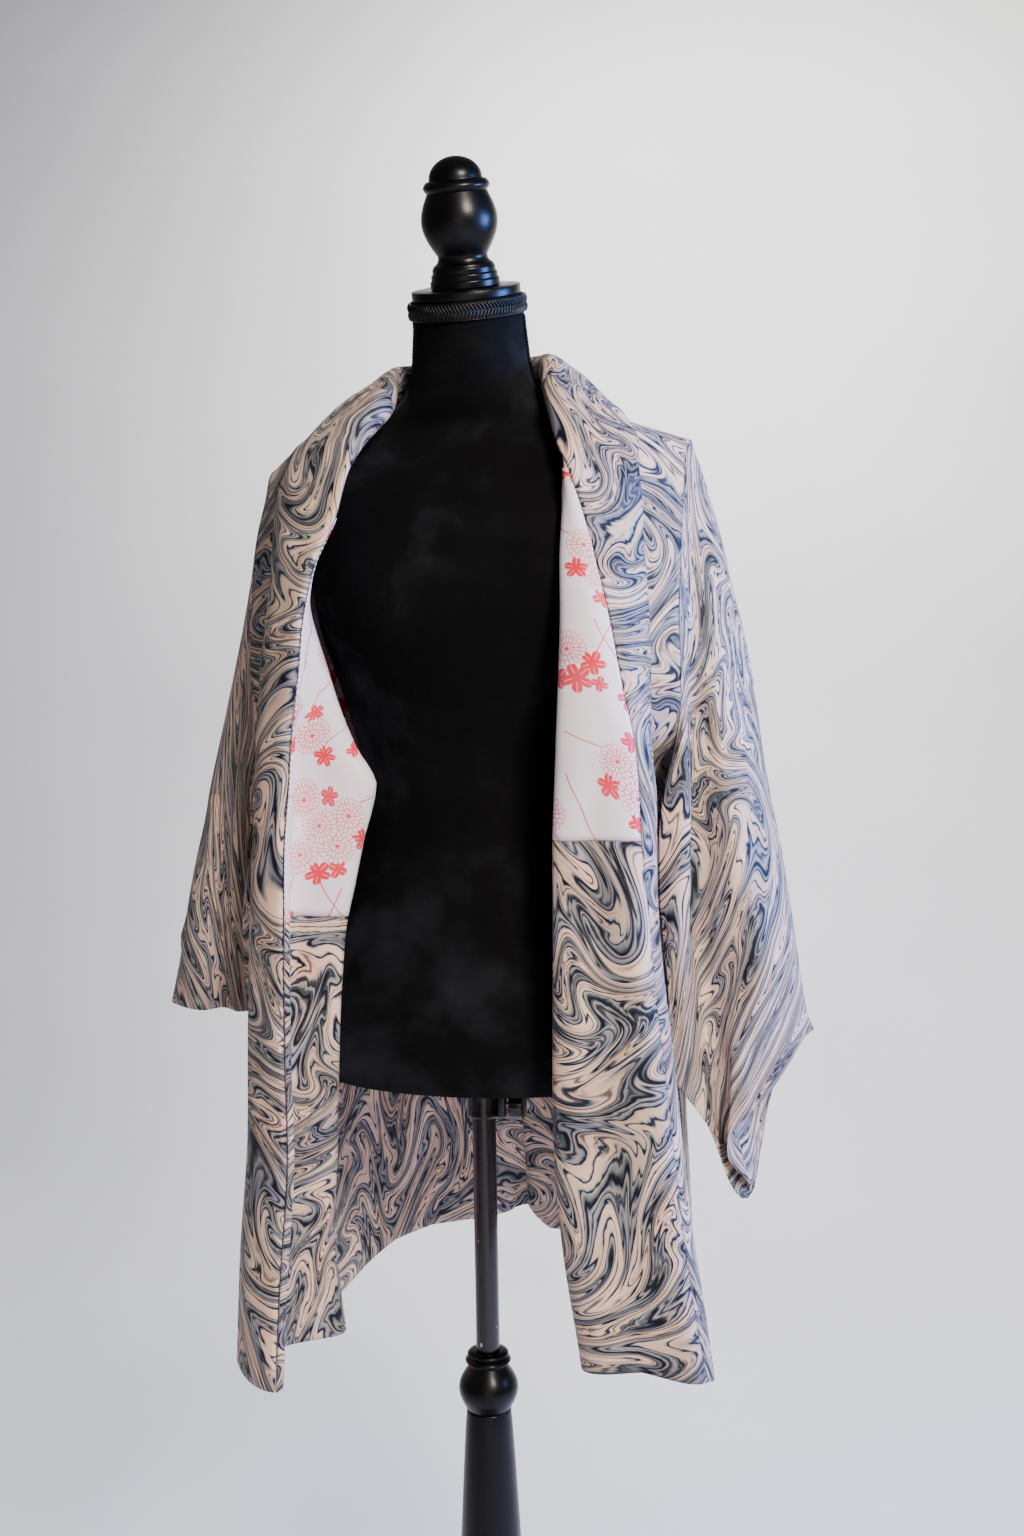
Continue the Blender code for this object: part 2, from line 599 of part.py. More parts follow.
# ---------------------------------------------------------------- form and stand
FINIAL_PROFILE = (
    [(31.0, 0.0), (31.0, 5.5), (29.6, 7.0), (29.6, 11.0), (28.2, 12.5)]
    + [(27.3, 18.5), (23.0, 21.5), (22.2, 27.0)]
    + arc((22.2, 27.0), (26.6, 79.5), 9.2, 8)
    + [(28.4, 81.0), (29.0, 83.6), (28.0, 87.0)]
    + [(23.4 * math.cos(angle), 88.2 + 19.6 * math.sin(angle)) for angle in (0.0, 0.3, 0.6, 0.9, 1.2, 1.45)]
)
BALL_PROFILE = (
    [(20.5, 506.0)]
    + arc((20.5, 506.0), (17.5, 547.0), 8.6, 10)
    + [(21.0, 549.5), (21.4, 552.5), (18.0, 555.0), (19.0, 557.5), (18.2, 560.0)]
)
COLUMN_PROFILE = [
    (26.0, 34.3), (32.0, 38.0), (33.0, 46.0), (27.0, 52.0), (23.0, 66.0), (22.5, 90.0), (25.5, 150.0),
    (29.5, 230.0), (31.0, 300.0), (29.5, 350.0), (27.0, 400.0), (24.3, 450.0), (21.5, 495.0), (20.5, 505.7),
]
BASE_PROFILE = [
    (BASE_RADIUS - 4, 0.0), (BASE_RADIUS, 4.0), (BASE_RADIUS, 14.0), (BASE_RADIUS - 5, 19.0),
    (BASE_RADIUS - 30, 23.0), (90.0, 27.0), (48.0, 30.0), (44.0, 34.0),
]
BRAID_HEIGHT = 14.0
CAP_HEIGHT = 8.5
CAP_RADIUS = 48.5


def along_neck(distance):
    """Centre of the neck's slanted axis at a distance above the neck's top."""
    x, y, z = NECK_TOP
    return (x, y - distance * math.sin(NECK_TILT), z + distance * math.cos(NECK_TILT))


def build_torso(parent):
    """The form's torso and neck, with a blind bore for the pole."""
    rings = [circle(BORE_RADIUS, BORE_TOP, FORM_SIDES), circle(BORE_RADIUS, TORSO_BOTTOM, FORM_SIDES)]
    rings += [form_ring(row) for row in FORM_SECTIONS]
    ring_loft("torso", rings, "velvet", parent)


def build_side_braid(name, mirror, parent):
    """A flat braid down one side of the neck."""
    rings = []
    for z in (1425.0, 1442.0, 1459.0, 1476.0, 1494.0):
        half_width, _, _, centre = form_section(z)
        inner, outer = half_width + 0.5, half_width + 2.0
        rings.append(np.array([(mirror * x, centre + y, z) for x, y in
                               ((inner, -3.5), (outer, -2.5), (outer, 2.5), (inner, 3.5))]))
    ring_loft(name, rings, "braid", parent)


def build_form(parent):
    """The parts of the form that ride up and down on the pole."""
    build_torso(parent)
    build_side_braid("side_braid_left", 1, parent)
    build_side_braid("side_braid_right", -1, parent)
    braid_bottom = -1.0 - BRAID_HEIGHT
    braid = [(52.2, 0.0), (53.2, 2.0), (53.2, 6.2), (52.4, 7.0), (53.2, 7.8), (53.2, 12.0)]
    braid.append((52.2, BRAID_HEIGHT))
    turned("neck_braid", braid, "braid", parent, 40, along_neck(braid_bottom), NECK_TILT, NECK_RADIUS + 0.6)
    cap = [(CAP_RADIUS - 1, 0.0), (CAP_RADIUS, 1.0)]
    cap += [(CAP_RADIUS, CAP_HEIGHT - 1.5), (CAP_RADIUS - 1.5, CAP_HEIGHT)]
    turned("neck_cap", cap, "lacquer", parent, 40, along_neck(SEAM_GAP), NECK_TILT)
    foot = along_neck(CAP_HEIGHT + 2 * SEAM_GAP)
    turned("finial", FINIAL_PROFILE, "lacquer", parent, 28, foot, NECK_TILT)
    collet = [(COLLET_RADIUS, COLLET_BOTTOM), (COLLET_RADIUS, TORSO_BOTTOM - SEAM_GAP)]
    turned("clamp", collet, "painted_metal", parent, 24, bore=BORE_RADIUS)
    build_thumb_screw(parent)


def build_thumb_screw(parent):
    """The clamp's bracket and its screw, which points to the wearer's left."""
    start, end = COLLET_RADIUS + SEAM_GAP, 21.0
    bottom, top, half = 778.5, 802.0, 5.0
    corners = [(-half, bottom), (half, bottom), (half, top), (-half, top)]
    rings = [np.array([(x, y, z) for y, z in corners]) for x in (start, end)]
    ring_loft("clamp_bracket", rings, "painted_metal", parent)
    profile = [(2.4, end + SEAM_GAP), (2.4, 24.5), (11.6, 25.0), (13.2, 26.5), (13.2, 37.0), (12.0, 38.5)]
    angles = np.linspace(0.0, 2 * math.pi, 16, endpoint=False)
    middle = (bottom + top) / 2
    rings = [np.stack([np.full(16, x), radius * np.cos(angles), middle + radius * np.sin(angles)], axis=-1)
             for radius, x in profile]
    ring_loft("thumb_screw", rings, "painted_metal", parent)


def build_stand(parent):
    """The pole, the turned ball and column, and the round base."""
    pole = [(POLE_RADIUS, POLE_BOTTOM + SEAM_GAP), (POLE_RADIUS, POLE_TOP - 1), (POLE_RADIUS - 1, POLE_TOP)]
    turned("pole", pole, "painted_metal", parent, 32)
    turned("ball", BALL_PROFILE, "lacquer", parent, 32)
    turned("column", COLUMN_PROFILE, "lacquer", parent, 32)
    turned("base", BASE_PROFILE, "lacquer", parent, 48)


def add_frame(name):
    """An empty on the pole axis that carries one moving body."""
    frame = bpy.data.objects.new(name, None)
    bpy.context.collection.objects.link(frame)
    return frame


def main():
    for old in list(bpy.data.objects):
        bpy.data.objects.remove(old)
    build_stand(add_frame("stand_frame"))
    form = add_frame("form_frame")
    build_form(form)
    build_haori(form)


main()
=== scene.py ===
"""Looks of a haori jacket that hangs open on a dress form with a turned stand.

The frame is metres with +Z up; the form faces -Y and its wearer's left is +X.
Tables of the cloth are in millimetres.
"""

from __future__ import annotations

import logging
import math
from collections.abc import Sequence
from dataclasses import dataclass, field
from enum import Enum

import bpy
import numpy as np
from mathutils import Matrix, Vector


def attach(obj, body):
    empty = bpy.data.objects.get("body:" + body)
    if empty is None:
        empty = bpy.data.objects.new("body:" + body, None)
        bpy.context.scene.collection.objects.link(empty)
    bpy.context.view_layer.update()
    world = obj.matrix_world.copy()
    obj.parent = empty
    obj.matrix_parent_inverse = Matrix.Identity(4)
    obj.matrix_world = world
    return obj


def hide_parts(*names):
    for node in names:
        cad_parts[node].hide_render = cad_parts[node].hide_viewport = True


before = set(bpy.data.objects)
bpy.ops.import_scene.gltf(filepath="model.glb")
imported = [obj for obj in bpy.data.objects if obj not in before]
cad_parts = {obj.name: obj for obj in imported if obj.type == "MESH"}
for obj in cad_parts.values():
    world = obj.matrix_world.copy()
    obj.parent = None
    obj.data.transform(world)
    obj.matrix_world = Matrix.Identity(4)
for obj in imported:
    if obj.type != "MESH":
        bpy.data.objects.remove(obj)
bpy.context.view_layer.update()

LOG = logging.getLogger("haori")
MM = 0.001

Point = tuple[float, float, float]
Grid = np.ndarray


class Side(Enum):
    """The wearer's side of a piece, with the sign of X there."""

    LEFT = 1
    RIGHT = -1

    @property
    def word(self) -> str:
        """The side as it stands in names."""
        return self.name.lower()


# ---------------- form's sections
# z, half width, front depth, back depth, centre y, tilt in degrees
FORM_SECTIONS = (
    (821, 151, 96, 103, 0, 0),
    (850, 158, 102, 112, 0, 0),
    (875, 160, 105, 115, 0, 0),
    (930, 150, 98, 110, 0, 0),
    (990, 129, 90, 95, 0, 0),
    (1040, 113, 86, 82, 0, 0),
    (1085, 106, 85, 77, 0, 0),
    (1130, 112, 92, 80, 0, 0),
    (1180, 126, 107, 87, 0, 0),
    (1225, 141, 120, 93, 0, 0),
    (1255, 147, 122, 96, 0, 0),
    (1300, 157, 106, 96, 0, 0),
    (1340, 170, 80, 86, 0, 0),
    (1364, 180, 60, 68, 4, 0),
    (1381.4, 172, 50, 56, 8, 0),
    (1394.4, 154, 45, 50, 12, 0),
    (1404.4, 126, 44, 48, 12, 0),
    (1414.4, 94, 46, 48, 8, 0),
    (1426, 70, 48, 49, 4, 0),
    (1442, 58, 48, 50, 0, 2),
    (1462, 53, 49, 50, -1, 8),
    (1495, 50, 50, 50, -5, 20),
    (1518, 50, 50, 50, -13, 20),
)
TORSO_BOTTOM = 821.0
NECK_TOP = (0.0, -13.0, 1518.0)
NECK_TILT = math.radians(20.0)
FORM_CLEAR = 6.0
BORE_RADIUS = 11.5
SCREW_HEIGHT = 790.25

# ---------------- haori's tables
# Front of one side: z, then x and y of each plan point: E outer fold of the band,
# C its middle, Q its roll, S its seam with the body, V middle of the lapel,
# F fold of the lapel, R cloth behind the lapel, G gusset or armhole edge.
FRONT_LEFT = (
    (602, 205, -64, 212, -88, 214, -112, 211, -128, 160, -128, 110, -120, 160, -62, 190, 2),
    (690, 194, -64, 200, -88, 202, -112, 198, -128, 149, -130, 99, -125, 151, -62, 185, 2),
    (780, 183, -63, 190, -87, 192, -112, 188, -127, 142, -131, 94, -128, 146, -64, 181, 2),
    (870, 174, -63, 182, -87, 184, -111, 180, -125, 138, -132, 95, -130, 145, -66, 178, 0),
    (960, 167, -66, 174, -88, 175, -111, 170, -125, 134, -133, 97, -131, 143, -68, 176, -6),
    (1045, 167, -74, 171, -93, 170, -113, 163, -126, 131, -133, 99, -132, 141, -70, 170, -14),
    (1100, 168, -85, 171, -101, 169, -117, 162, -126, 132, -133, 101, -132, 143, -74, 168, -22),
    (1126, 168, -90, 170, -105, 167, -119, 160, -127, 132, -134, 102, -133, 148, -80, 188, -52),
    (1180, 168, -88, 166, -104, 158, -119, 149, -124, 127, -130, 103, -127, 150, -78, 190, -54),
    (1230, 166, -81, 162, -97, 150, -112, 138, -118, 121, -123, 104, -120, 150, -70, 188, -47),
    (1275, 163, -71, 154, -87, 139, -101, 126, -107, 114, -110, 102, -108, 148, -64, 189, -36),
    (1315, 161, -58, 146, -76, 129, -88, 114, -94, 107, -96, 100, -92, 145, -60, 190, -23),
    (1352, 158, -54, 138, -68, 118, -77, 101, -84, 98, -82, 97, -76, 140, -56, 191, -9),
)
FRONT_RIGHT = (
    (602, -193, -131, -180, -149, -162, -164, -141, -170, -158, -128, -112, -82, -160, -60, -186, 0),
    (690, -188, -128, -176, -146, -158, -161, -136, -167, -152, -126, -113, -94, -163, -64, -188, -5),
    (780, -181, -122, -171, -141, -153, -157, -130, -163, -145, -124, -112, -104, -170, -68, -190, -12),
    (870, -179, -119, -170, -139, -153, -155, -131, -160, -142, -124, -107, -112, -190, -80, -191, -25),
    (978, -176, -117, -168, -136, -151, -152, -130, -158, -140, -125, -96, -113, -196, -83, -191, -30),
    (1045, -172, -114, -165, -132, -150, -148, -129, -154, -137, -126, -83, -111, -184, -80, -186, -28),
    (1093, -170, -112, -162, -130, -147, -146, -125, -152, -134, -128, -71, -113, -165, -76, -182, -28),
    (1126, -168, -111, -160, -129, -144, -144, -123, -151, -132, -131, -86, -119, -158, -75, -188, -45),
    (1180, -165, -106, -157, -124, -139, -140, -118, -148, -118, -140, -104, -129, -152, -75, -196, -52),
    (1230, -162, -98, -153, -117, -134, -133, -114, -142, -113, -139, -113, -132, -150, -74, -198, -48),
    (1275, -159, -89, -148, -109, -128, -125, -106, -134, -107, -132, -110, -127, -152, -70, -198, -38),
    (1315, -160, -78, -142, -97, -118, -111, -93, -118, -94, -116, -96, -111, -150, -64, -197, -26),
    (1352, -158, -66, -137, -84, -111, -96, -87, -103, -90, -99, -95, -94, -147, -58, -193, -12),
)
# Stations round the neck and over the shoulder, (x, y, z) in the same columns
YOKE_LEFT = (
    ((152, -34, 1388), (122, -50, 1394), (90, -56, 1392), (86, -53, 1384), (92, -53, 1382), (100, -52, 1380),
     (142, -30, 1392), (192, 0, 1376)),
    ((136, -14, 1411), (104, -26, 1430), (74, -32, 1438), (73, -24, 1424), (80, -24, 1421), (90, -23, 1417),
     (140, -6, 1401), (194, 8, 1384)),
    ((122, 12, 1422), (92, 14, 1454), (65, 10, 1466), (66, 10, 1442), (76, 11, 1436), (88, 12, 1428),
     (140, 20, 1406), (194, 24, 1388)),
    ((88, 66, 1424), (66, 56, 1462), (46, 44, 1474), (48, 42, 1448), (58, 47, 1440), (71, 50, 1430),
     (132, 50, 1399), (191, 46, 1379)),
)
YOKE_RIGHT = (
    ((-150, -46, 1386), (-116, -72, 1394), (-78, -86, 1390), (-80, -80, 1378), (-86, -77, 1376), (-94, -73, 1374),
     (-146, -36, 1390), (-194, -2, 1368)),
    ((-138, -20, 1408), (-98, -42, 1430), (-58, -60, 1424), (-64, -48, 1410), (-72, -45, 1409), (-82, -41, 1407),
     (-142, -10, 1397), (-194, 8, 1376)),
    ((-122, 10, 1420), (-92, 6, 1448), (-66, -4, 1460), (-69, -3, 1438), (-78, 1, 1431), (-90, 5, 1424),
     (-142, 20, 1402), (-194, 24, 1380)),
    ((-88, 66, 1424), (-66, 56, 1460), (-46, 42, 1472), (-49, 40, 1446), (-59, 46, 1439), (-72, 50, 1429),
     (-133, 50, 1399), (-191, 46, 1373)),
)
NAPE = ((0, 100, 1422), (0, 80, 1464), (0, 64, 1480), (0, 64, 1452), (10, 67, 1446), (24, 70, 1440),
        (112, 72, 1400), (190, 60, 1372))
# Back: z and depth at the centre, then the armhole or gusset edge (x, y, z)
BACK_ROWS = (
    (1428, 78, 188, 66, 1362),
    (1398, 92, 188, 68, 1350),
    (1352, 108, 189, 66, 1326),
    (1290, 116, 190, 60, 1280),
    (1225, 116, 190, 54, 1225),
    (1165, 113, 188, 50, 1165),
    (1100, 112, 176, 44, 1100),
    (1045, 117, 176, 46, 1045),
    (960, 131, 178, 52, 960),
    (870, 149, 177, 60, 870),
    (780, 166, 178, 66, 780),
    (690, 183, 180, 72, 690),
    (614, 197, 182, 78, 606),
)
BACK_SHARES = (0.0, 0.12, 0.30, 0.62, 1.0)
BACK_FLUTE = 9.0

# Guides of a sleeve round the armhole, each from below the armhole to the cuff
SLEEVE_LEFT = (
    ("inner front", ((175, -60, 1065), (170, -52, 985), (176, -46, 900), (174, -42, 838))),
    ("front quarter", ((192, -63, 1080), (189, -58, 970), (192, -46, 880), (199, -30, 799))),
    ("front valley", ((204, -46, 1110), (205, -40, 985), (208, -34, 870), (240, 20, 713))),
    ("front swell", ((216, -40, 1165), (232, -46, 1018), (236, -44, 895), (224, -26, 777))),
    ("front of cuff", ((226, -26, 1195), (250, -34, 1050), (266, -32, 930), (257, -12, 810))),
    ("top fold", ((232, 12, 1250), (256, 21, 1100), (279, 31, 960), (295, 37, 862))),
    ("back of cuff", ((232, 58, 1210), (256, 68, 1060), (272, 66, 930), (266, 52, 814))),
    ("back swell", ((222, 76, 1165), (238, 82, 1018), (246, 68, 880), (250, 40, 748))),
    ("back middle", ((206, 76, 1110), (216, 76, 990), (226, 56, 860), (242, 23, 712))),
    ("back quarter", ((197, 66, 1060), (203, 58, 960), (206, 26, 870), (200, -26, 797))),
    ("inner back", ((192, 50, 1045), (197, 36, 960), (196, -6, 890), (177, -37, 836))),
)
SLEEVE_RIGHT = (
    ("inner front", ((-204, -44, 1050), (-208, -40, 990), (-209, -40, 935), (-212, -38, 877))),
    ("front quarter", ((-208, -55, 1065), (-214, -54, 1000), (-217, -52, 940), (-219, -48, 879))),
    ("front valley", ((-216, -56, 1110), (-224, -58, 1030), (-228, -58, 955), (-226, -54, 884))),
    ("front swell", ((-218, -50, 1160), (-236, -56, 1050), (-248, -56, 960), (-250, -50, 881))),
    ("front of cuff", ((-219, -34, 1190), (-245, -42, 1060), (-268, -42, 960), (-276, -38, 881))),
    ("top fold", ((-222, 4, 1230), (-248, -4, 1095), (-279, -10, 960), (-299, -14, 881))),
    ("back of cuff", ((-226, 48, 1200), (-250, 44, 1070), (-270, 36, 960), (-284, 24, 880))),
    ("back swell", ((-222, 70, 1170), (-240, 74, 1050), (-252, 68, 960), (-256, 44, 876))),
    ("back middle", ((-210, 74, 1110), (-222, 74, 1020), (-230, 62, 940), (-230, 30, 872))),
    ("back quarter", ((-204, 66, 1065), (-212, 64, 985), (-217, 48, 925), (-216, 4, 878))),
    ("inner back", ((-202, 50, 1045), (-206, 40, 985), (-209, 10, 940), (-210, -32, 902))),
)
SEAM, FOLD = 3, 5  # columns S and F
FACING_TOP = {Side.LEFT: 5, Side.RIGHT: 4}
LINING_TOP = {Side.LEFT: 12, Side.RIGHT: 11}
ARMHOLE_ROW, GUSSET_ROW, COLLAR_CUT = 7, 6, 14
BACK_ARMHOLE, BACK_GUSSET, BACK_FACING = 5, 6, 9
CELL = 6.0  # edge of a cloth quad
SEAM_GAP = 0.3


# ---------------- sheets of cloth
def unit(vectors: Grid) -> Grid:
    """Scale vectors to length 1."""
    return vectors / np.maximum(np.linalg.norm(vectors, axis=-1, keepdims=True), 1e-9)


def smooth_line(points: Grid, steps: Sequence[int]) -> Grid:
    """Run a smooth line through points along the first axis.

    Args:
        points: Key points, [key, ..., 3].
        steps: Samples in each span between keys.

    Returns:
        The sampled line, [sample, ..., 3]. A tangent leans towards the shorter
        neighbour and is as long as its span, so tight folds never loop.
    """
    points = np.asarray(points, float)
    spans = np.diff(points, axis=0)
    lengths = np.maximum(np.linalg.norm(spans, axis=-1, keepdims=True), 1e-6)
    tangents = np.empty_like(points)
    tangents[0], tangents[-1] = spans[0], spans[-1]
    before, after = lengths[:-1], lengths[1:]
    tangents[1:-1] = spans[:-1] / before * after + spans[1:] / after * before
    tangents = unit(tangents)
    line = []
    for span, count in enumerate(steps):
        t = np.linspace(0.0, 1.0, count, endpoint=False).reshape((-1,) + (1,) * (points.ndim - 1))
        reach = lengths[span]
        line.append(
            (2 * t**3 - 3 * t**2 + 1) * points[span]
            + (t**3 - 2 * t**2 + t) * tangents[span] * reach
            + (3 * t**2 - 2 * t**3) * points[span + 1]
            + (t**3 - t**2) * tangents[span + 1] * reach
        )
    line.append(points[-1:])
    return np.concatenate(line)


def steps_for(points: Grid, least: int = 2) -> list[int]:
    """Samples per span that give quads of about CELL along the first axis.

    Args:
        points: Key points.
        least: Fewest samples in a span.

    Returns:
        The samples of each span.
    """
    lengths = np.linalg.norm(np.diff(points, axis=0), axis=-1)
    lengths = lengths.reshape(len(lengths), -1)
    return [max(least, round(float(np.percentile(span, 75)) / CELL)) for span in lengths]


def form_section(z: float) -> list[float]:
    """Half width, front depth, back depth and centre y of the form at a height."""
    table = np.array(FORM_SECTIONS, float)
    return [float(np.interp(z, table[:, 0], table[:, column])) for column in (1, 2, 3, 4)]


def clear_of_form(points: Grid) -> Grid:
    """Move points out from the form's axis until they clear its section.

    Args:
        points: Places in millimetres.

    Returns:
        The places, none of them inside the form.
    """
    points = np.array(points, float)
    for point in points.reshape(-1, 3):
        if TORSO_BOTTOM < point[2] < NECK_TOP[2]:
            half_width, front, back, centre = form_section(point[2])
            depth = front if point[1] < centre else back
            reach = math.hypot(point[0] / (half_width + FORM_CLEAR), (point[1] - centre) / (depth + FORM_CLEAR))
            if 0.0 < reach < 1.0:
                point[0] /= reach
                point[1] = centre + (point[1] - centre) / reach
    return points


@dataclass
class Sheet:
    """A grid of cloth points in millimetres with its normals and its flat cut.

    Attributes:
        points: Places, [row, column, 3].
        normals: Unit normals towards the inside of the garment.
        cut: Place of each point on the flat cloth, [row, column, 2], in metres.
    """

    points: Grid
    normals: Grid
    cut: Grid

    @classmethod
    def through(cls, points: Grid, inward: int) -> "Sheet":
        """Make a sheet from its points; inward is the sign that turns normals in."""
        normals = unit(np.cross(np.gradient(points, axis=0), np.gradient(points, axis=1))) * inward
        return cls(points, normals, cls.flat_cut(points))

    @staticmethod
    def flat_cut(points: Grid) -> Grid:
        """Lay the grid flat: mean arc lengths along its rows and columns, in metres.

        Args:
            points: The grid in millimetres.

        Returns:
            The place of each point on the flat cloth.
        """
        across = np.zeros(points.shape[:2])
        across[:, 1:] = np.cumsum(np.linalg.norm(np.diff(points, axis=1), axis=2), axis=1)
        along = np.zeros(points.shape[:2])
        along[1:] = np.cumsum(np.linalg.norm(np.diff(points, axis=0), axis=2), axis=0)
        middle = along[:, points.shape[1] // 2][:, None]
        along = 0.35 * along + 0.65 * middle
        return np.stack([across, along], axis=2) * MM

    def part(self, rows: slice = slice(None), columns: slice = slice(None)) -> "Sheet":
        """The stretch between rows and columns."""
        return Sheet(self.points[rows, columns].copy(), self.normals[rows, columns].copy(),
                     self.cut[rows, columns].copy())

    def drawn_back(self, distance: float, *edges: str) -> "Sheet":
        """Move the named edges back along the sheet.

        Args:
            distance: How far, in millimetres.
            edges: Any of "first_row", "last_row", "first_column", "last_column".

        Returns:
            The same sheet.
        """
        places = {
            "first_row": (np.s_[0], np.s_[1]),
            "last_row": (np.s_[-1], np.s_[-2]),
            "first_column": (np.s_[:, 0], np.s_[:, 1]),
            "last_column": (np.s_[:, -1], np.s_[:, -2]),
        }
        for name in edges:
            edge, inside = places[name]
            self.points[edge] += distance * unit(self.points[inside] - self.points[edge])
        return self

    def raised(self, height: Grid | float) -> "Sheet":
        """The sheet moved along its normals.

        Args:
            height: How far, for the whole sheet or each point, in millimetres.

        Returns:
            The new sheet.
        """
        lift = np.asarray(height, float)
        lift = lift[..., None] if lift.ndim else lift
        return Sheet(self.points + lift * self.normals, self.normals, self.cut)

    def area(self) -> float:
        """Area of the cloth in square metres.

        Returns:
            The area.
        """
        a = np.diff(self.points, axis=0)[:, :-1]
        b = np.diff(self.points, axis=1)[:-1]
        return float(np.linalg.norm(np.cross(a, b), axis=2).sum()) * MM * MM


def smooth_sheet(points: Grid, row_steps: Sequence[int], column_steps: Sequence[int]) -> Grid:
    """Points of a smooth sheet through a net of key points."""
    along = smooth_line(points, row_steps)
    return smooth_line(along.swapaxes(0, 1), column_steps).swapaxes(0, 1)


def along_line(points: Grid, line: Sequence[Point]) -> tuple[Grid, Grid]:
    """Distance of points from a broken line, and their share of its length.

    Args:
        points: Places in millimetres.
        line: Corners of the line, or one point.

    Returns:
        The distances and the shares.
    """
    line = np.asarray(line, float)
    if len(line) == 1:
        return np.linalg.norm(points - line[0], axis=-1), np.full(points.shape[:-1], 0.5)
    spans = np.diff(line, axis=0)
    lengths = np.linalg.norm(spans, axis=1)
    starts = np.concatenate([[0.0], np.cumsum(lengths)])
    best = np.full(points.shape[:-1], np.inf)
    share = np.zeros(points.shape[:-1])
    for start, span, length, travelled in zip(line, spans, lengths, starts):
        place = np.clip(((points - start) @ span) / length**2, 0.0, 1.0)
        distance = np.linalg.norm(points - (start + place[..., None] * span), axis=-1)
        nearer = distance < best
        best = np.where(nearer, distance, best)
        share = np.where(nearer, (travelled + place * length) / starts[-1], share)
    return best, share


@dataclass(frozen=True)
class Crease:
    """A soft ridge or trough along a line on the cloth.

    Attributes:
        line: Points of its crest, in millimetres; one point makes a dimple.
        width: Distance at which it has fallen to about a third, in millimetres.
        height: Height to the outside of the garment, or depth if negative.
        pull: Shift of the cloth as a whole, in millimetres.
    """

    line: tuple[Point, ...]
    width: float
    height: float = 0.0
    pull: Point = (0.0, 0.0, 0.0)

    def move(self, points: Grid, normals: Grid) -> Grid:
        """Shift of each point, given the normals towards the garment's inside.

        Args:
            points: Places in millimetres.
            normals: Their unit normals.

        Returns:
            The shift in millimetres.
        """
        distance, share = along_line(points, self.line)
        weight = np.exp(-((distance / self.width) ** 1.7)) * (1.0 - np.abs(2.0 * share - 1.0) ** 3)
        return weight[..., None] * (np.array(self.pull) - self.height * normals)


def creases(*rows: tuple) -> tuple[Crease, ...]:
    """Creases from rows of line, width, height and pull."""
    return tuple(Crease(*row) for row in rows)


def drift(points: Grid, reach: float) -> Grid:
    """A slow unevenness of hanging cloth: every layer near a place moves alike.

    Args:
        points: Places in millimetres.
        reach: Largest shift in each direction, in millimetres.

    Returns:
        The shift of each point.
    """
    x, y, z = (points[..., axis] for axis in range(3))
    across = np.sin(x / 17.0 + 1.3 * np.sin(z / 88.0) + 0.7) + 0.6 * np.sin(x / 9.5 - z / 61.0 + y / 23.0)
    forward = np.sin(x / 14.0 + z / 97.0 + 2.1) + 0.7 * np.sin(x / 23.0 - z / 43.0 + 0.4)
    upward = 0.5 * np.sin(x / 19.0 + y / 21.0 + 1.1)
    return reach * np.stack([across / 1.6, forward / 1.7, upward], axis=-1)


# ---------------- folds of the haori
# Drop of the hem below its table row, for the columns E C Q S V F R G
FRONT_HEM = {
    Side.LEFT: (-9, -7, -4, 3, 7, 0, 0, 0),
    Side.RIGHT: (-9, -11, -13, -14, 1, 3, -10, -38),
}
# The same along a half back, from the centre to the side
BACK_HEM = {
    Side.LEFT: ((0.0, 17), (0.05, 4), (0.12, -7), (0.3, -8), (0.62, -4), (1.0, 0)),
    Side.RIGHT: ((0.0, 17), (0.12, 7), (0.3, 0), (0.55, -1), (0.75, -14), (0.9, -34), (1.0, -48)),
}
HEM_FADE = 110.0

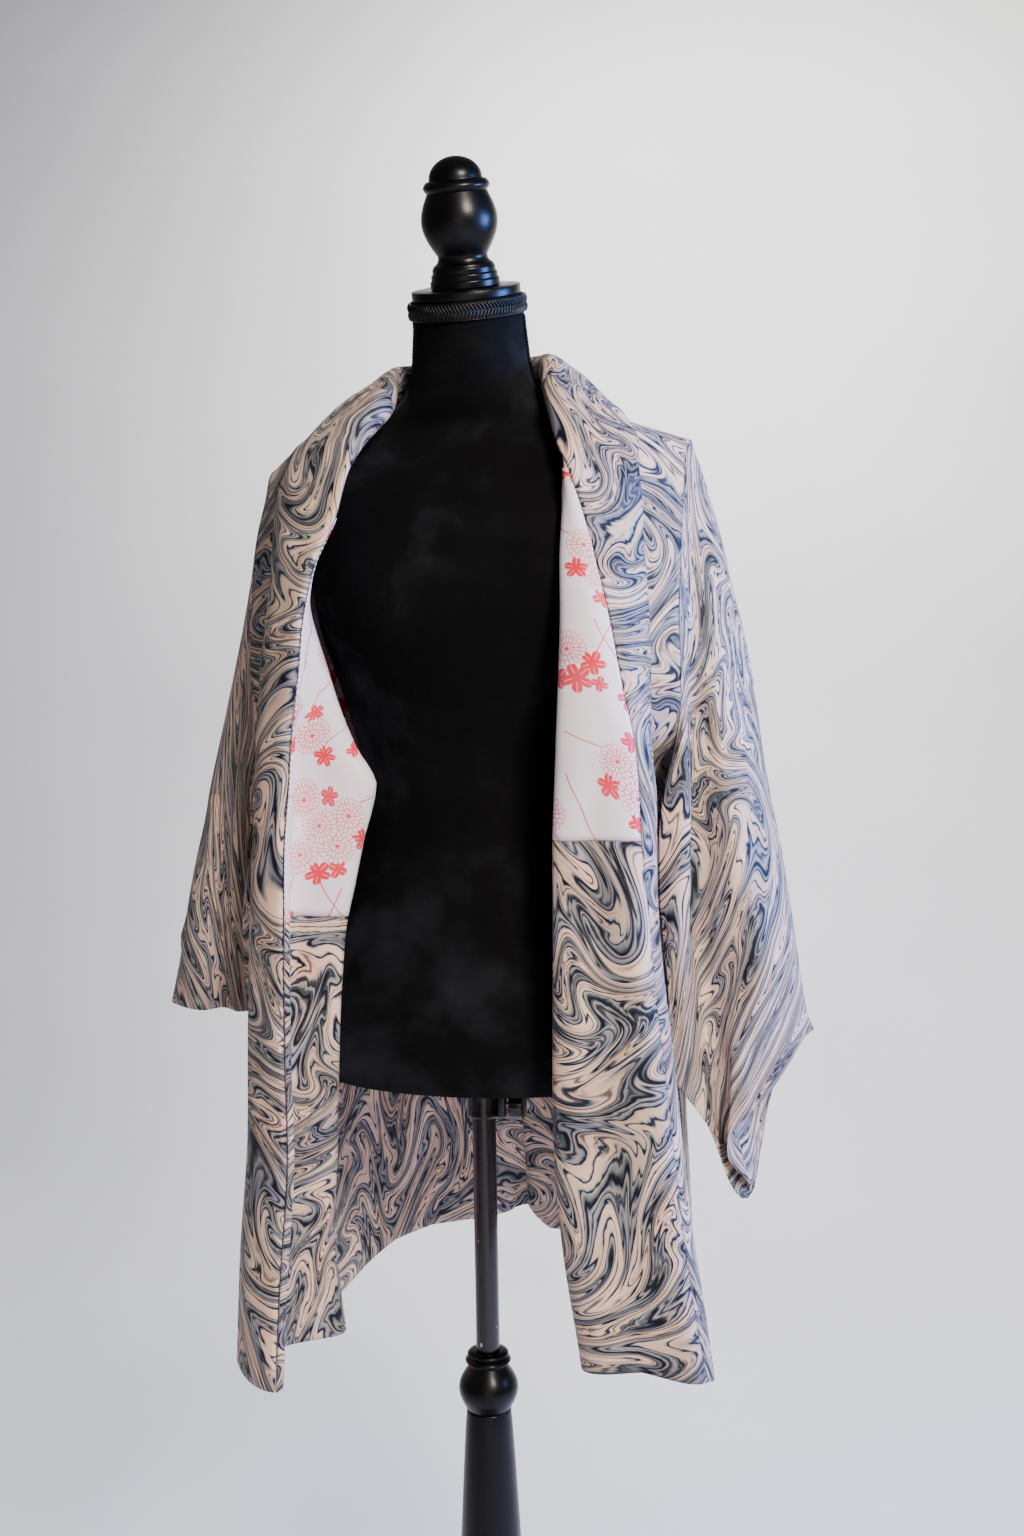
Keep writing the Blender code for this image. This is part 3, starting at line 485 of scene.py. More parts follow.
FRONT_CREASES = {
    Side.LEFT: creases(
        (((104, -92, 1356), (128, -82, 1350), (158, -62, 1344)), 5, -2.6),  # across the band at the shoulder
        (((104, -94, 1366), (130, -80, 1362), (158, -56, 1358)), 7, 2.2),
        (((160, -88, 1190), (152, -118, 1166), (146, -126, 1140)), 7, 2.4),
        (((110, -104, 1300), (138, -98, 1262), (160, -80, 1228)), 8, -2.2),
        (((168, -84, 1110), (176, -96, 1060), (178, -100, 1000)), 8, -2.5),
        (((125, -132, 1120), (120, -134, 1010), (126, -134, 880), (132, -134, 760)), 11, 3.2),
        (((150, -131, 1040), (156, -131, 930), (150, -131, 820), (164, -130, 690)), 12, -3.2),
        (((186, -120, 760), (180, -128, 690), (176, -130, 640)), 9, 3.0),
        (((112, -124, 680), (130, -130, 640), (140, -130, 604)), 11, -3.0),
        (((178, -58, 1320), (178, -66, 1250), (180, -68, 1160)), 10, 3.4),  # rolls towards the armhole
        (((160, -74, 1300), (160, -82, 1230), (162, -84, 1150)), 9, -2.2),
        (((150, -52, 1386), (176, -28, 1382), (192, -6, 1370)), 7, -2.6),
        (((130, -40, 1398), (160, -20, 1396), (190, 0, 1382)), 8, 2.2),
    ),
    Side.RIGHT: creases(
        (((-70, -60, 1418), (-84, -56, 1424), (-98, -46, 1428)), 5, -2.4),  # small gathers at the neck
        (((-68, -70, 1408), (-84, -66, 1412), (-104, -54, 1416)), 4.5, 2.6),
        (((-72, -80, 1398), (-88, -78, 1402), (-108, -64, 1404)), 5, -2.6),
        (((-78, -90, 1386), (-92, -88, 1390), (-112, -76, 1392)), 5, 2.4),
        (((-116, -100, 1382), (-140, -84, 1372), (-160, -66, 1356)), 7, 2.6),
        (((-104, -112, 1352), (-130, -98, 1338), (-158, -76, 1322)), 7, -3.0),
        (((-112, -130, 1296), (-136, -118, 1276), (-158, -90, 1262)), 8, 2.4),
        (((-128, -142, 1236), (-148, -124, 1206), (-162, -106, 1190)), 8, -2.4),
        (((-118, -140, 1216), (-121, -136, 1150), (-124, -132, 1080), (-122, -130, 1020)), 6, -6.5),
        (((-108, -134, 1180), (-106, -130, 1110), (-106, -126, 1040)), 7, 4.2),
        (((-70, -114, 1093),), 6.5, 0.0, (5.5, 0.0, 0.0)),  # the lapel's corner
        (((-79, -117, 1113),), 8, 0.0, (-2.2, 0.0, 0.0)),
        (((-74, -112, 1072),), 8, 0.0, (-2.2, 0.0, 0.0)),
        (((-84, -112, 1000), (-108, -118, 930), (-116, -114, 850)), 10, 3.0),
        (((-128, -120, 900), (-132, -116, 780), (-126, -100, 680)), 10, -4.0),
        (((-116, -96, 760), (-118, -90, 690), (-120, -84, 620)), 9, 3.0),
        (((-150, -152, 960), (-158, -148, 880), (-150, -154, 800)), 9, 2.4),
        (((-160, -146, 760), (-166, -150, 700), (-172, -152, 640)), 9, -2.6),
        (((-193, -26, 1356), (-184, -52, 1330), (-172, -66, 1300)), 6, -4.0),  # gathers below the shoulder
        (((-195, -34, 1322), (-186, -58, 1300), (-172, -72, 1262)), 6, 3.4),
        (((-196, -38, 1294), (-188, -62, 1252), (-180, -70, 1200)), 6, -3.6),
        (((-150, -56, 1388), (-176, -24, 1380), (-193, -8, 1362)), 7, -3.0),
        (((-134, -46, 1402), (-164, -20, 1394), (-193, 4, 1374)), 8, 2.4),
    ),
}
BACK_CREASES = {
    Side.LEFT: creases(
        (((40, 96, 1404), (58, 110, 1340), (66, 118, 1240)), 12, 2.4),
        (((160, 68, 1372), (128, 92, 1330), (106, 104, 1270)), 10, -3.0),
        (((184, 64, 1350), (160, 84, 1280), (150, 84, 1200)), 10, 3.0),
        (((176, 62, 1180), (150, 80, 1110), (140, 90, 1020)), 10, -3.4),
        (((60, 120, 1150), (56, 128, 1020), (64, 150, 880)), 14, 3.4),
        (((104, 112, 1050), (110, 126, 930), (120, 144, 780), (124, 160, 640)), 14, -5.0),
        (((36, 150, 900), (34, 178, 760), (40, 196, 620)), 14, 4.5),
        (((156, 92, 900), (160, 106, 760), (162, 124, 640)), 11, 4.0),
    ),
    Side.RIGHT: creases(
        (((-36, 96, 1408), (-50, 112, 1350), (-52, 118, 1260)), 12, 2.4),
        (((-160, 68, 1366), (-132, 90, 1316), (-112, 102, 1250)), 10, -3.0),
        (((-184, 62, 1340), (-162, 82, 1262), (-152, 84, 1190)), 10, 3.2),
        (((-178, 60, 1170), (-152, 80, 1096), (-136, 92, 1000)), 10, -3.4),
        (((-66, 120, 1130), (-70, 128, 1010), (-62, 152, 870)), 14, 3.2),
        (((-110, 110, 1040), (-104, 130, 920), (-110, 148, 790), (-120, 160, 650)), 14, -5.0),
        (((-13, 168, 860), (-13, 196, 720), (-13, 206, 600)), 11, 0.0, (0.0, 16.0, 8.0)),
        (((-44, 160, 850), (-48, 178, 730), (-46, 190, 600)), 13, -5.0),
        (((-160, 88, 880), (-158, 106, 760), (-152, 124, 620)), 11, 4.0),
    ),
}
SLEEVE_CREASES = {
    Side.LEFT: creases(
        (((200, -50, 1190), (202, -48, 1080), (204, -42, 960), (212, -30, 840)), 8, -9.0),
        (((199, -22, 1326), (204, -36, 1262), (208, -44, 1190)), 10, -8.5),  # hollow behind the front
        (((200, 0, 1364), (200, 24, 1366)), 9, 2.6),  # rounds the shoulder off
        (((220, -10, 1300), (228, -22, 1240), (236, -30, 1180)), 12, 2.4),
        (((292, 34, 868), (296, 36, 860), (292, 32, 852)), 16, 0.0, (4.0, 0.0, -2.0)),
        (((200, 26, 1350), (222, 22, 1290), (240, 20, 1220)), 9, -2.4),
        (((214, -38, 1220), (232, -42, 1160), (248, -34, 1100)), 11, 3.4),
        (((222, -56, 1150), (226, -58, 1060), (228, -54, 960), (236, -44, 860)), 9, -4.5),
        (((252, -36, 1120), (262, -40, 1020), (266, -36, 930)), 12, -3.0),
        (((262, -30, 1060), (250, -40, 1000), (232, -46, 950)), 11, -3.4),
        (((282, 0, 960), (262, -34, 920), (240, -44, 900)), 11, 3.4),
        (((284, 10, 900), (262, -26, 862), (236, -38, 850)), 9, -3.2),
        (((222, -44, 900), (236, -34, 830), (246, -8, 760)), 10, 3.2),
        (((238, 70, 1240), (246, 80, 1140), (252, 78, 1030), (254, 68, 920)), 12, -5.0),
        (((214, 74, 1180), (224, 80, 1060), (238, 74, 930), (246, 50, 800)), 12, 5.0),
        (((206, 70, 1090), (208, 64, 980), (218, 40, 860)), 10, -5.0),
    ),
    Side.RIGHT: creases(
        (((-199, -38, 1300), (-214, -40, 1262), (-222, -40, 1210)), 6, -4.5),
        (((-200, -24, 1330), (-214, -20, 1300), (-226, -16, 1250)), 6, -3.6),
        (((-200, -30, 1315), (-216, -32, 1280), (-228, -32, 1200), (-236, -44, 1120)), 7, 2.0),
        (((-210, -54, 1180), (-218, -58, 1100), (-222, -58, 1010), (-222, -56, 920)), 8, -6.0),
        (((-240, -46, 1140), (-252, -50, 1060), (-262, -50, 980)), 10, 3.0),
        (((-262, -36, 1080), (-250, -50, 1030), (-234, -56, 1000)), 10, -3.0),
        (((-284, -24, 960), (-264, -44, 930), (-240, -54, 916)), 9, 2.8),
        (((-226, 62, 1230), (-240, 70, 1130), (-252, 66, 1020), (-258, 54, 920)), 12, -4.5),
        (((-212, 72, 1160), (-226, 74, 1050), (-240, 66, 950)), 11, 4.5),
        (((-206, 66, 1080), (-212, 60, 1000), (-220, 36, 920)), 10, -4.0),
    ),
}


def hem_shift(points: Grid, drop: Grid, hem: float) -> Grid:
    """Lower or raise a hem by column, fading out up the cloth.

    Args:
        points: The sheet's points.
        drop: Shift of each column in millimetres.
        hem: Height of the hem before it is shifted.

    Returns:
        The shift of each point.
    """
    fade = np.clip(1.0 - (points[..., 2] - hem) / HEM_FADE, 0.0, 1.0) ** 2
    shift = np.zeros_like(points)
    shift[..., 2] = fade * drop[None, :]
    return shift


@dataclass
class HaoriSide:
    """The sheets of one side of the haori, with normals towards its inside.

    Attributes:
        side: Which side of the wearer it is.
        reach: Largest slow unevenness of the cloth, in millimetres.
    """

    side: Side
    reach: float = 1.6
    row_steps: list[int] = field(init=False)
    column_steps: list[int] = field(init=False)
    back_steps: list[int] = field(init=False)
    front: Sheet = field(init=False)
    body: Sheet = field(init=False)

    def __post_init__(self) -> None:
        """Sample the tables and lay the folds into the cloth."""
        keys = self.front_keys()
        back_keys = np.concatenate([keys[-1:, SEAM:], self.back_keys()])
        self.row_steps = steps_for(keys)
        self.column_steps = steps_for(keys.swapaxes(0, 1), 5)
        self.back_steps = steps_for(back_keys)
        front = smooth_sheet(keys, self.row_steps, self.column_steps)
        back = smooth_sheet(back_keys, self.back_steps, self.column_steps[SEAM:])
        seam = self.column(SEAM)
        share = np.interp(np.arange(front.shape[1]), [self.column(c) for c in range(8)], FRONT_HEM[self.side])
        front = front + hem_shift(front, share, 602.0)
        places, drops = zip(*BACK_HEM[self.side])
        out = np.abs(back[-1, :, 0]) / np.abs(back[-1, -1, 0])
        back = back + hem_shift(back, np.interp(out, places, drops), 610.0)
        whole = np.concatenate([front[:, seam:], back[1:]])
        inward = self.side.value
        front = self.folded(front, FRONT_CREASES[self.side], inward)
        whole = self.folded(whole, FRONT_CREASES[self.side] + BACK_CREASES[self.side], inward)
        front[:, seam:] = whole[: len(front)]
        centre = whole[len(front) - 1:, 0]
        centre[:, 0] = 0.0
        self.front = Sheet.through(clear_of_form(front), inward)
        self.body = Sheet.through(clear_of_form(whole), inward)
        nape = len(front) - 1
        self.body.normals[:nape] = self.front.normals[:-1, seam:]
        self.body.normals[nape:, 0, 0] = 0.0
        self.body.normals[:] = unit(self.body.normals)

    def folded(self, points: Grid, creases: Sequence[Crease], inward: int) -> Grid:
        """The points after every crease and the slow unevenness have moved them.

        Args:
            points: The smooth cloth.
            creases: What is pressed into it.
            inward: Sign that turns normals in.

        Returns:
            The creased cloth.
        """
        normals = Sheet.through(points, inward).normals
        total = sum(crease.move(points, normals) for crease in creases)
        fade = np.clip((1400.0 - points[..., 2]) / 60.0, 0.0, 1.0)[..., None]
        return points + total + fade * drift(points, self.reach)

    def front_keys(self) -> Grid:
        """Key points of the front, yoke and nape, [row, column].

        Returns:
            The net in millimetres.
        """
        left = self.side is Side.LEFT
        table = FRONT_LEFT if left else FRONT_RIGHT
        rows = [[(x, y, row[0]) for x, y in zip(row[1::2], row[2::2])] for row in table]
        rows += [list(row) for row in (YOKE_LEFT if left else YOKE_RIGHT)]
        rows.append([(self.side.value * x, y, z) for x, y, z in NAPE])
        return np.array(rows, float)

    def back_keys(self) -> Grid:
        """Key points of the half back below the nape, [row, column].

        Returns:
            The net in millimetres.
        """
        top, hem = BACK_ROWS[0][0], BACK_ROWS[-1][0]
        rows = []
        for centre_z, depth, edge_x, edge_y, edge_z in BACK_ROWS:
            fall = (top - centre_z) / (top - hem)
            row = []
            for share in BACK_SHARES:
                angle = share * math.pi / 2
                x = edge_x * math.sin(angle) ** 0.85
                y = edge_y + (depth - edge_y) * math.cos(angle) ** 0.85 if share < 1 else edge_y
                y += BACK_FLUTE * fall**2 * math.sin(math.pi * share) * math.cos(4 * math.pi * share)
                row.append((self.side.value * x, y, centre_z + (edge_z - centre_z) * share))
            rows.append(row)
        return np.array(rows, float)

    def column(self, key: int) -> int:
        """Place in the front sheet of a column of the tables."""
        return sum(self.column_steps[:key])

    def row(self, key: int) -> int:
        """Place in the sheets of a row of the front tables."""
        return sum(self.row_steps[:key])

    def back_row(self, key: int) -> int:
        """Place in the body sheet of a row of BACK_ROWS."""
        return sum(self.row_steps) + sum(self.back_steps[: key + 1])

    def armhole(self, share: Grid) -> Grid:
        """Points round the armhole edge at shares from 0 to 1, with its tip at 0.5.

        Args:
            share: Shares of the way round.

        Returns:
            The points in millimetres.
        """
        edge = self.body.points[self.row(ARMHOLE_ROW): self.back_row(BACK_ARMHOLE) + 1, -1]
        tip = int(np.argmax(edge[:, 2]))
        lengths = np.concatenate([[0.0], np.cumsum(np.linalg.norm(np.diff(edge, axis=0), axis=1))])
        at = np.interp(share, (0.0, 0.5, 1.0), (0.0, lengths[tip], lengths[-1]))
        return np.stack([np.interp(at, lengths, edge[:, axis]) for axis in range(3)], axis=1)

    def sleeve(self) -> Sheet:
        """The sleeve's sheet: rows round the armhole, columns down to the cuff.

        Returns:
            The sheet.
        """
        guides = SLEEVE_LEFT if self.side is Side.LEFT else SLEEVE_RIGHT
        outward = np.array([self.side.value * 0.5, 0.0, 0.0])
        starts = self.armhole(np.linspace(0.0, 1.0, len(guides))) + outward
        net = np.array([[start, *points] for start, (_, points) in zip(starts, guides)], float)
        row_steps = steps_for(net, 6)
        points = smooth_sheet(net, row_steps, steps_for(net.swapaxes(0, 1)))
        share = np.interp(np.arange(len(points)), np.cumsum([0, *row_steps]), np.linspace(0.0, 1.0, len(guides)))
        exact = self.armhole(share) + outward
        pinned = np.clip(np.linalg.norm(points - points[:, :1], axis=2) / 40.0, 0.0, 1.0)[..., None]
        points = points + (1.0 - pinned) * (exact - points[:, 0])[:, None]
        normals = Sheet.through(points, -1).normals
        outer = normals * np.sign(np.sum(normals * (points - points.mean(axis=(0, 1))), axis=2).mean())
        total = sum(crease.move(points, -outer) for crease in SLEEVE_CREASES[self.side])
        points = points + pinned * (total + drift(points, self.reach * 1.3))
        sheet = Sheet.through(points, 1)
        if np.sum(sheet.normals * outer) > 0:
            sheet.normals *= -1
        sheet.cut = sheet.cut[..., ::-1].copy()  # the dyed pattern runs down the arm
        return sheet

    def gusset(self) -> Sheet:
        """The wedge between the front and the back below the armhole.

        Returns:
            The sheet.
        """
        front = self.body.points[: self.row(GUSSET_ROW) + 1, -1][::-1]
        back = self.body.points[self.back_row(BACK_GUSSET):, -1]
        share = np.linspace(0.0, 1.0, 90)
        front_line, back_line = (
            np.stack([np.interp(share, np.linspace(0, 1, len(line)), line[:, axis]) for axis in range(3)], axis=1)
            for line in (front, back)
        )
        middle = (front_line + back_line) / 2 + np.array([self.side.value * 3.0, 0.0, 0.0])
        points = smooth_sheet(np.stack([front_line, middle, back_line], axis=1), [1] * 89, [9, 9])
        return Sheet.through(points, -self.side.value).drawn_back(0.5, "first_column", "last_column")


# ---------------- finishes
def linear(hex_colour: str, alpha: float = 1.0) -> tuple[float, float, float, float]:
    """Turn an sRGB colour such as "#d9cbc6" into the linear one that shaders take.

    Args:
        hex_colour: The colour as six hex digits.
        alpha: Its opacity.

    Returns:
        Red, green, blue and alpha.
    """
    channels = [int(hex_colour[place: place + 2], 16) / 255 for place in (1, 3, 5)]
    red, green, blue = (c / 12.92 if c <= 0.04045 else ((c + 0.055) / 1.055) ** 2.4 for c in channels)
    return (red, green, blue, alpha)


class Shader:
    """A material whose node tree is put together step by step."""

    def __init__(self, name: str) -> None:
        """Start a material with a Principled shader alone."""
        self.material = bpy.data.materials.new(name)
        self.material.use_nodes = True
        self.tree = self.material.node_tree
        self.surface = self.tree.nodes["Principled BSDF"]

    def add(self, kind: str, sockets: dict | None = None, **settings: object) -> bpy.types.Node:
        """Add one node.

        Args:
            kind: The node's type without its "ShaderNode" start.
            sockets: Values or links for its inputs, by name or place.
            **settings: Properties of the node.

        Returns:
            The new node.
        """
        node = self.tree.nodes.new("ShaderNode" + kind)
        for key, value in settings.items():
            setattr(node, key, value)
        for key, value in (sockets or {}).items():
            self.join(node.inputs[key], value)
        return node

    def join(self, socket: bpy.types.NodeSocket, value: object) -> None:
        """Link another node's output to a socket, or set the socket's own value."""
        if isinstance(value, bpy.types.NodeSocket):
            self.tree.links.new(value, socket)
        else:
            socket.default_value = value

    def math(self, operation: str, *values: object, clamp: bool = False) -> bpy.types.NodeSocket:
        """Result of one arithmetic step on up to three values."""
        return self.add("Math", dict(enumerate(values)), operation=operation, use_clamp=clamp).outputs[0]

    def vector(self, operation: str, *values: object, out: int = 0) -> bpy.types.NodeSocket:
        """Result of one step on vectors."""
        return self.add("VectorMath", dict(enumerate(values)), operation=operation).outputs[out]

    def scaled(self, vector: object, share: float) -> bpy.types.NodeSocket:
        """A vector times one number."""
        return self.add("VectorMath", {0: vector, "Scale": share}, operation="SCALE").outputs[0]

    def noise(self, vector: object, scale: float, detail: float = 1.0, roughness: float = 0.5,
              out: str = "Fac") -> bpy.types.NodeSocket:
        """A noise texture, with scale in cells for each metre."""
        return self.add("TexNoise",
                        {"Vector": vector, "Scale": scale, "Detail": detail, "Roughness": roughness}).outputs[out]

    def warped(self, vector: object, scale: float, reach: float, detail: float = 0.0) -> bpy.types.NodeSocket:
        """A vector pushed about by noise, by up to half the reach in metres."""
        push = self.vector("SUBTRACT", self.noise(vector, scale, detail, out="Color"), (0.5, 0.5, 0.5))
        return self.vector("ADD", vector, self.scaled(push, reach))

    def ramp(self, value: object, stops: Sequence[tuple[float, str]], kind: str = "LINEAR") -> bpy.types.NodeSocket:
        """Colours along a value from 0 to 1, each stop a place and an sRGB colour.

        Args:
            value: What is looked up.
            stops: The places and colours.
            kind: How colours blend.

        Returns:
            The colour.
        """
        node = self.add("ValToRGB", {0: value})
        node.color_ramp.interpolation = kind
        elements = node.color_ramp.elements
        while len(elements) < len(stops):
            elements.new(1.0)
        for element, (place, colour) in zip(elements, stops):
            element.position = place
            element.color = linear(colour)
        return node.outputs["Color"]

    def mix(self, share: object, first: object, second: object, blend: str = "MIX") -> bpy.types.NodeSocket:
        """Two colours mixed; the share is of the second one.

        Args:
            share: Share of the second colour.
            first: Colour below.
            second: Colour above.
            blend: How they mix.

        Returns:
            The colour.
        """
        node = self.add("Mix", data_type="RGBA", blend_type=blend)
        self.join(node.inputs[0], share)
        self.join(node.inputs[6], first)
        self.join(node.inputs[7], second)
        return node.outputs[2]

    def bump(self, height: object, strength: float, distance: float) -> None:
        """Raise the surface by a height from 0 to 1 over a distance in metres."""
        node = self.add("Bump", {"Height": height, "Strength": strength, "Distance": distance})
        self.join(self.surface.inputs["Normal"], node.outputs[0])

    def set(self, **values: object) -> None:
        """Set or link sockets of the Principled shader; underscores stand for spaces."""
        for key, value in values.items():
            self.join(self.surface.inputs[key.replace("_", " ")], value)


@dataclass(frozen=True)
class MarbledSilk:
    """Silk dyed with ink that was floated on water and drawn into swirls.

    Attributes:
        strokes: Each drawing of the comb through the bath: its direction in degrees, its bends for
            each metre and its reach in metres, from the broad ones to the small ones.
        streams: Sets of ink lines laid across the bath before it was stirred, for each metre.
        laid: Direction across those sets, on the flat cloth.
        bands: How far the sets drift apart, in sets.
        weave: Threads of the crepe ground for each metre.
    """

    strokes: tuple[tuple[float, float, float], ...] = (
        (20.0, 3.6, 0.296), (112.0, 4.9, 0.243), (63.0, 7.2, 0.191), (157.0, 9.8, 0.161), (34.0, 12.6, 0.13),
        (126.0, 17.2, 0.097), (81.0, 24.1, 0.068), (172.0, 33.3, 0.045), (49.0, 48.3, 0.026), (140.0, 66.7, 0.015),
    )
    streams: float = 24.0
    laid: tuple[float, float, float] = (0.45, 0.89, 0.0)
    bands: float = 2.6
    weave: float = 2200.0

    def make(self) -> bpy.types.Material:
        """Build the material; it reads the cloth's own flat cut in metres.

        Returns:
            The material.
        """
        shader = Shader("marbled_silk")
        cut = shader.add("UVMap", uv_map="cut").outputs[0]
        stirred = cut
        for direction, bends, reach in self.strokes:
            stirred = self.combed(shader, stirred, math.radians(direction), bends, reach)
        feathered = shader.warped(stirred, 150.0, 0.006, 2.0)
        field = shader.noise(feathered, 9.0, 0.0)
        stream = shader.vector("DOT_PRODUCT", feathered, self.laid, out=1)
        phase = shader.math("MULTIPLY_ADD", stream, self.streams, shader.math("MULTIPLY", field, self.bands))
        bands = shader.ramp(shader.math("FRACT", phase), (
            (0.00, "#f9d5ba"), (0.15, "#f3cfb6"), (0.18, "#767c86"), (0.195, "#090a1e"), (0.225, "#0d0f28"),
            (0.25, "#7d8496"), (0.31, "#b7aca8"), (0.34, "#656c7d"), (0.35, "#0b0d22"), (0.375, "#5d646e"),
            (0.42, "#c3b7b0"), (0.47, "#4a5160"), (0.485, "#08091c"), (0.525, "#070818"), (0.545, "#3a4150"),
            (0.60, "#8c9190"), (0.64, "#b0ada2"), (0.655, "#14172e"), (0.68, "#343a4c"), (0.71, "#c4bcb6"),
            (0.76, "#f1ccb4"), (0.88, "#f9d5ba"), (0.905, "#5a6170"), (0.918, "#0a0c22"), (0.94, "#2a2f46"),
            (0.96, "#b5b0ac"), (1.0, "#f9d5ba"),
        ))
        hatch = shader.math("FRACT", shader.math("MULTIPLY", phase, 8.3))
        hatch_tone = shader.ramp(hatch, ((0.0, "#ffffff"), (0.28, "#f4f5f6"), (0.42, "#4a5162"), (0.58, "#434a5c"),
                                         (0.72, "#dfe1e4"), (1.0, "#ffffff")))
        patch = shader.noise(stirred, 16.0, 1.0)
        hatched = shader.math("MULTIPLY_ADD", patch, 9.0, -4.1, clamp=True)
        drawn = shader.mix(shader.math("MULTIPLY", hatched, 0.9), bands, hatch_tone, "MULTIPLY")
        wash = shader.ramp(shader.noise(stirred, 11.0, 1.0),
                           ((0.30, "#fff0e4"), (0.46, "#ffffff"), (0.60, "#d6d4ca"), (0.75, "#a9b2cc")))
        shader.set(Base_Color=shader.mix(0.75, drawn, wash, "MULTIPLY"))
        silk_surface(shader, cut, self.weave, 0.58, 0.06)
        return shader.material

    @staticmethod
    def combed(shader: Shader, place: object, direction: float, bends: float, reach: float) -> bpy.types.NodeSocket:
        """The bath after one stroke, which drags each lane along without squeezing the ink.

        Args:
            shader: The shader to add to.
            place: Place on the bath, in metres.
            direction: Direction of the stroke, in radians.
            bends: Bends of the stroke for each metre.
            reach: How far the ink is dragged, in metres.

        Returns:
            Where the ink at each place came from.
        """
        lane = shader.vector("DOT_PRODUCT", place, (-math.sin(direction), math.cos(direction), 0.0), out=1)
        wave = shader.add("TexNoise", {"W": lane, "Scale": bends, "Detail": 0.0}, noise_dimensions="1D").outputs[0]
        drag = shader.math("MULTIPLY_ADD", wave, reach, -0.5 * reach)
        drag = shader.scaled((math.cos(direction), math.sin(direction), 0.0), drag)
        return shader.vector("ADD", place, drag)


def silk_surface(shader: Shader, cut: object, weave: float, roughness: float, sheen: float) -> None:
    """Give a silk shader its crepe ground and soft gloss.

    Args:
        shader: The shader to finish.
        cut: The cloth's flat coordinates in metres.
        weave: Threads for each metre.
        roughness: Roughness in the middle of the cloth's range.
        sheen: Weight of its sheen.
    """
    threads = shader.noise(shader.vector("MULTIPLY", cut, (weave, weave * 0.45, 1.0)), 1.0, 1.0)
    slubs = shader.noise(shader.vector("MULTIPLY", cut, (900.0, 60.0, 1.0)), 1.0, 1.0)
    crepe = shader.math("MULTIPLY_ADD", slubs, 0.5, threads)
    shader.bump(crepe, 0.35, 0.00018)
    gloss = shader.math("MULTIPLY_ADD", slubs, 0.12, roughness - 0.06)
    shader.set(Roughness=gloss, Sheen_Weight=sheen, Sheen_Roughness=0.4, Specular_IOR_Level=0.3)


class Motif(Enum):
    """What is printed at a place of the lining's repeat."""

    CHRYSANTHEMUM = "open flower drawn in line"
    LEAVES = "solid spray of leaves"


@dataclass(frozen=True)
class Print:
    """One motif of the lining's repeat.

    Attributes:
        kind: Flower or leaves.
        x: Place across the repeat, in metres.
        y: Place along the repeat, in metres.
        radius: Size in metres.
        petals: Number of petals or leaves round it.
        turn: Turn as a share of one petal.
    """

    kind: Motif
    x: float
    y: float
    radius: float
    petals: int
    turn: float = 0.0

    def polar(self, shader: Shader, place: object) -> tuple[object, object]:
        """Distance from the motif's middle, 1 at its rim, and the angle in turns.

        Args:
            shader: The shader to add to.
            place: Place about the middle.

        Returns:
            The distance and the turns.
        """
        local = shader.scaled(shader.vector("SUBTRACT", place, (self.x, self.y, 0.0)), 1.0 / self.radius)
        parts = shader.add("SeparateXYZ", {0: local}).outputs
        angle = shader.math("ARCTAN2", parts[1], parts[0])
        return shader.vector("LENGTH", local, out=1), shader.math("MULTIPLY_ADD", angle, 0.5 / math.pi, 0.5)

    def from_middle(self, shader: Shader, turns: object, petals: int) -> object:
        """How far round a petal a point is: 0 at its middle, 1 where it meets the next."""
        cell = shader.math("FRACT", shader.math("MULTIPLY_ADD", turns, float(petals), self.turn))
        return shader.math("ABSOLUTE", shader.math("MULTIPLY_ADD", cell, 2.0, -1.0))

    def petal_row(self, shader: Shader, distance: object, turns: object, petals: int, reach: float) -> tuple:
        """Ink of one row of petals and the area it covers.

        Args:
            shader: The shader to add to.
            distance: Distance from the flower's middle, 1 at its rim.
            turns: Angle in turns.
            petals: Petals in the row.
            reach: Length of the row's petals.

        Returns:
            The ink's mask and the row's mask.
        """
        aside = self.from_middle(shader, turns, petals)
        rim = shader.math("MULTIPLY_ADD", shader.math("POWER", aside, 2.6), -0.17 * reach, reach)
        inside = shader.math("LESS_THAN", distance, rim)
        tip = shader.math("LESS_THAN", shader.math("ABSOLUTE", shader.math("SUBTRACT", distance, rim)), 0.022)
        gap = shader.math("MULTIPLY", shader.math("SUBTRACT", 1.0, aside), distance)
        side = shader.math("LESS_THAN", gap, 0.021 * petals / math.pi)
        return shader.math("MAXIMUM", tip, shader.math("MULTIPLY", side, inside)), inside

    def draw(self, shader: Shader, place: object) -> tuple[object, object]:
        """Masks of the motif's ink and of its pale tint.

        Args:
            shader: The shader to add to.
            place: Place about the middle.

        Returns:
            The ink and the tint.
        """
        distance, turns = self.polar(shader, place)
        if self.kind is Motif.LEAVES:
            aside = self.from_middle(shader, turns, self.petals)
            rim = shader.math("MULTIPLY_ADD", shader.math("POWER", aside, 2.2), -0.52, 1.0)
            solid = shader.math("LESS_THAN", distance, rim)
            vein = shader.math("LESS_THAN", shader.math("MULTIPLY", aside, distance), 0.04)
            vein = shader.math("MULTIPLY", vein, shader.math("GREATER_THAN", distance, 0.3))
            return shader.math("SUBTRACT", solid, shader.math("MULTIPLY", vein, 0.6), clamp=True), solid
        ink: object = 0.0
        for share, reach in ((1.0, 1.0), (0.75, 0.68), (0.45, 0.38)):
            lines, area = self.petal_row(shader, distance, turns, round(self.petals * share), reach)
            ink = shader.math("MAXIMUM", lines, shader.math("MULTIPLY", ink, shader.math("SUBTRACT", 1.0, area)))
            whole = area if reach == 1.0 else whole
        eye = shader.math("LESS_THAN", distance, 0.09)
        return shader.math("MAXIMUM", ink, eye), whole


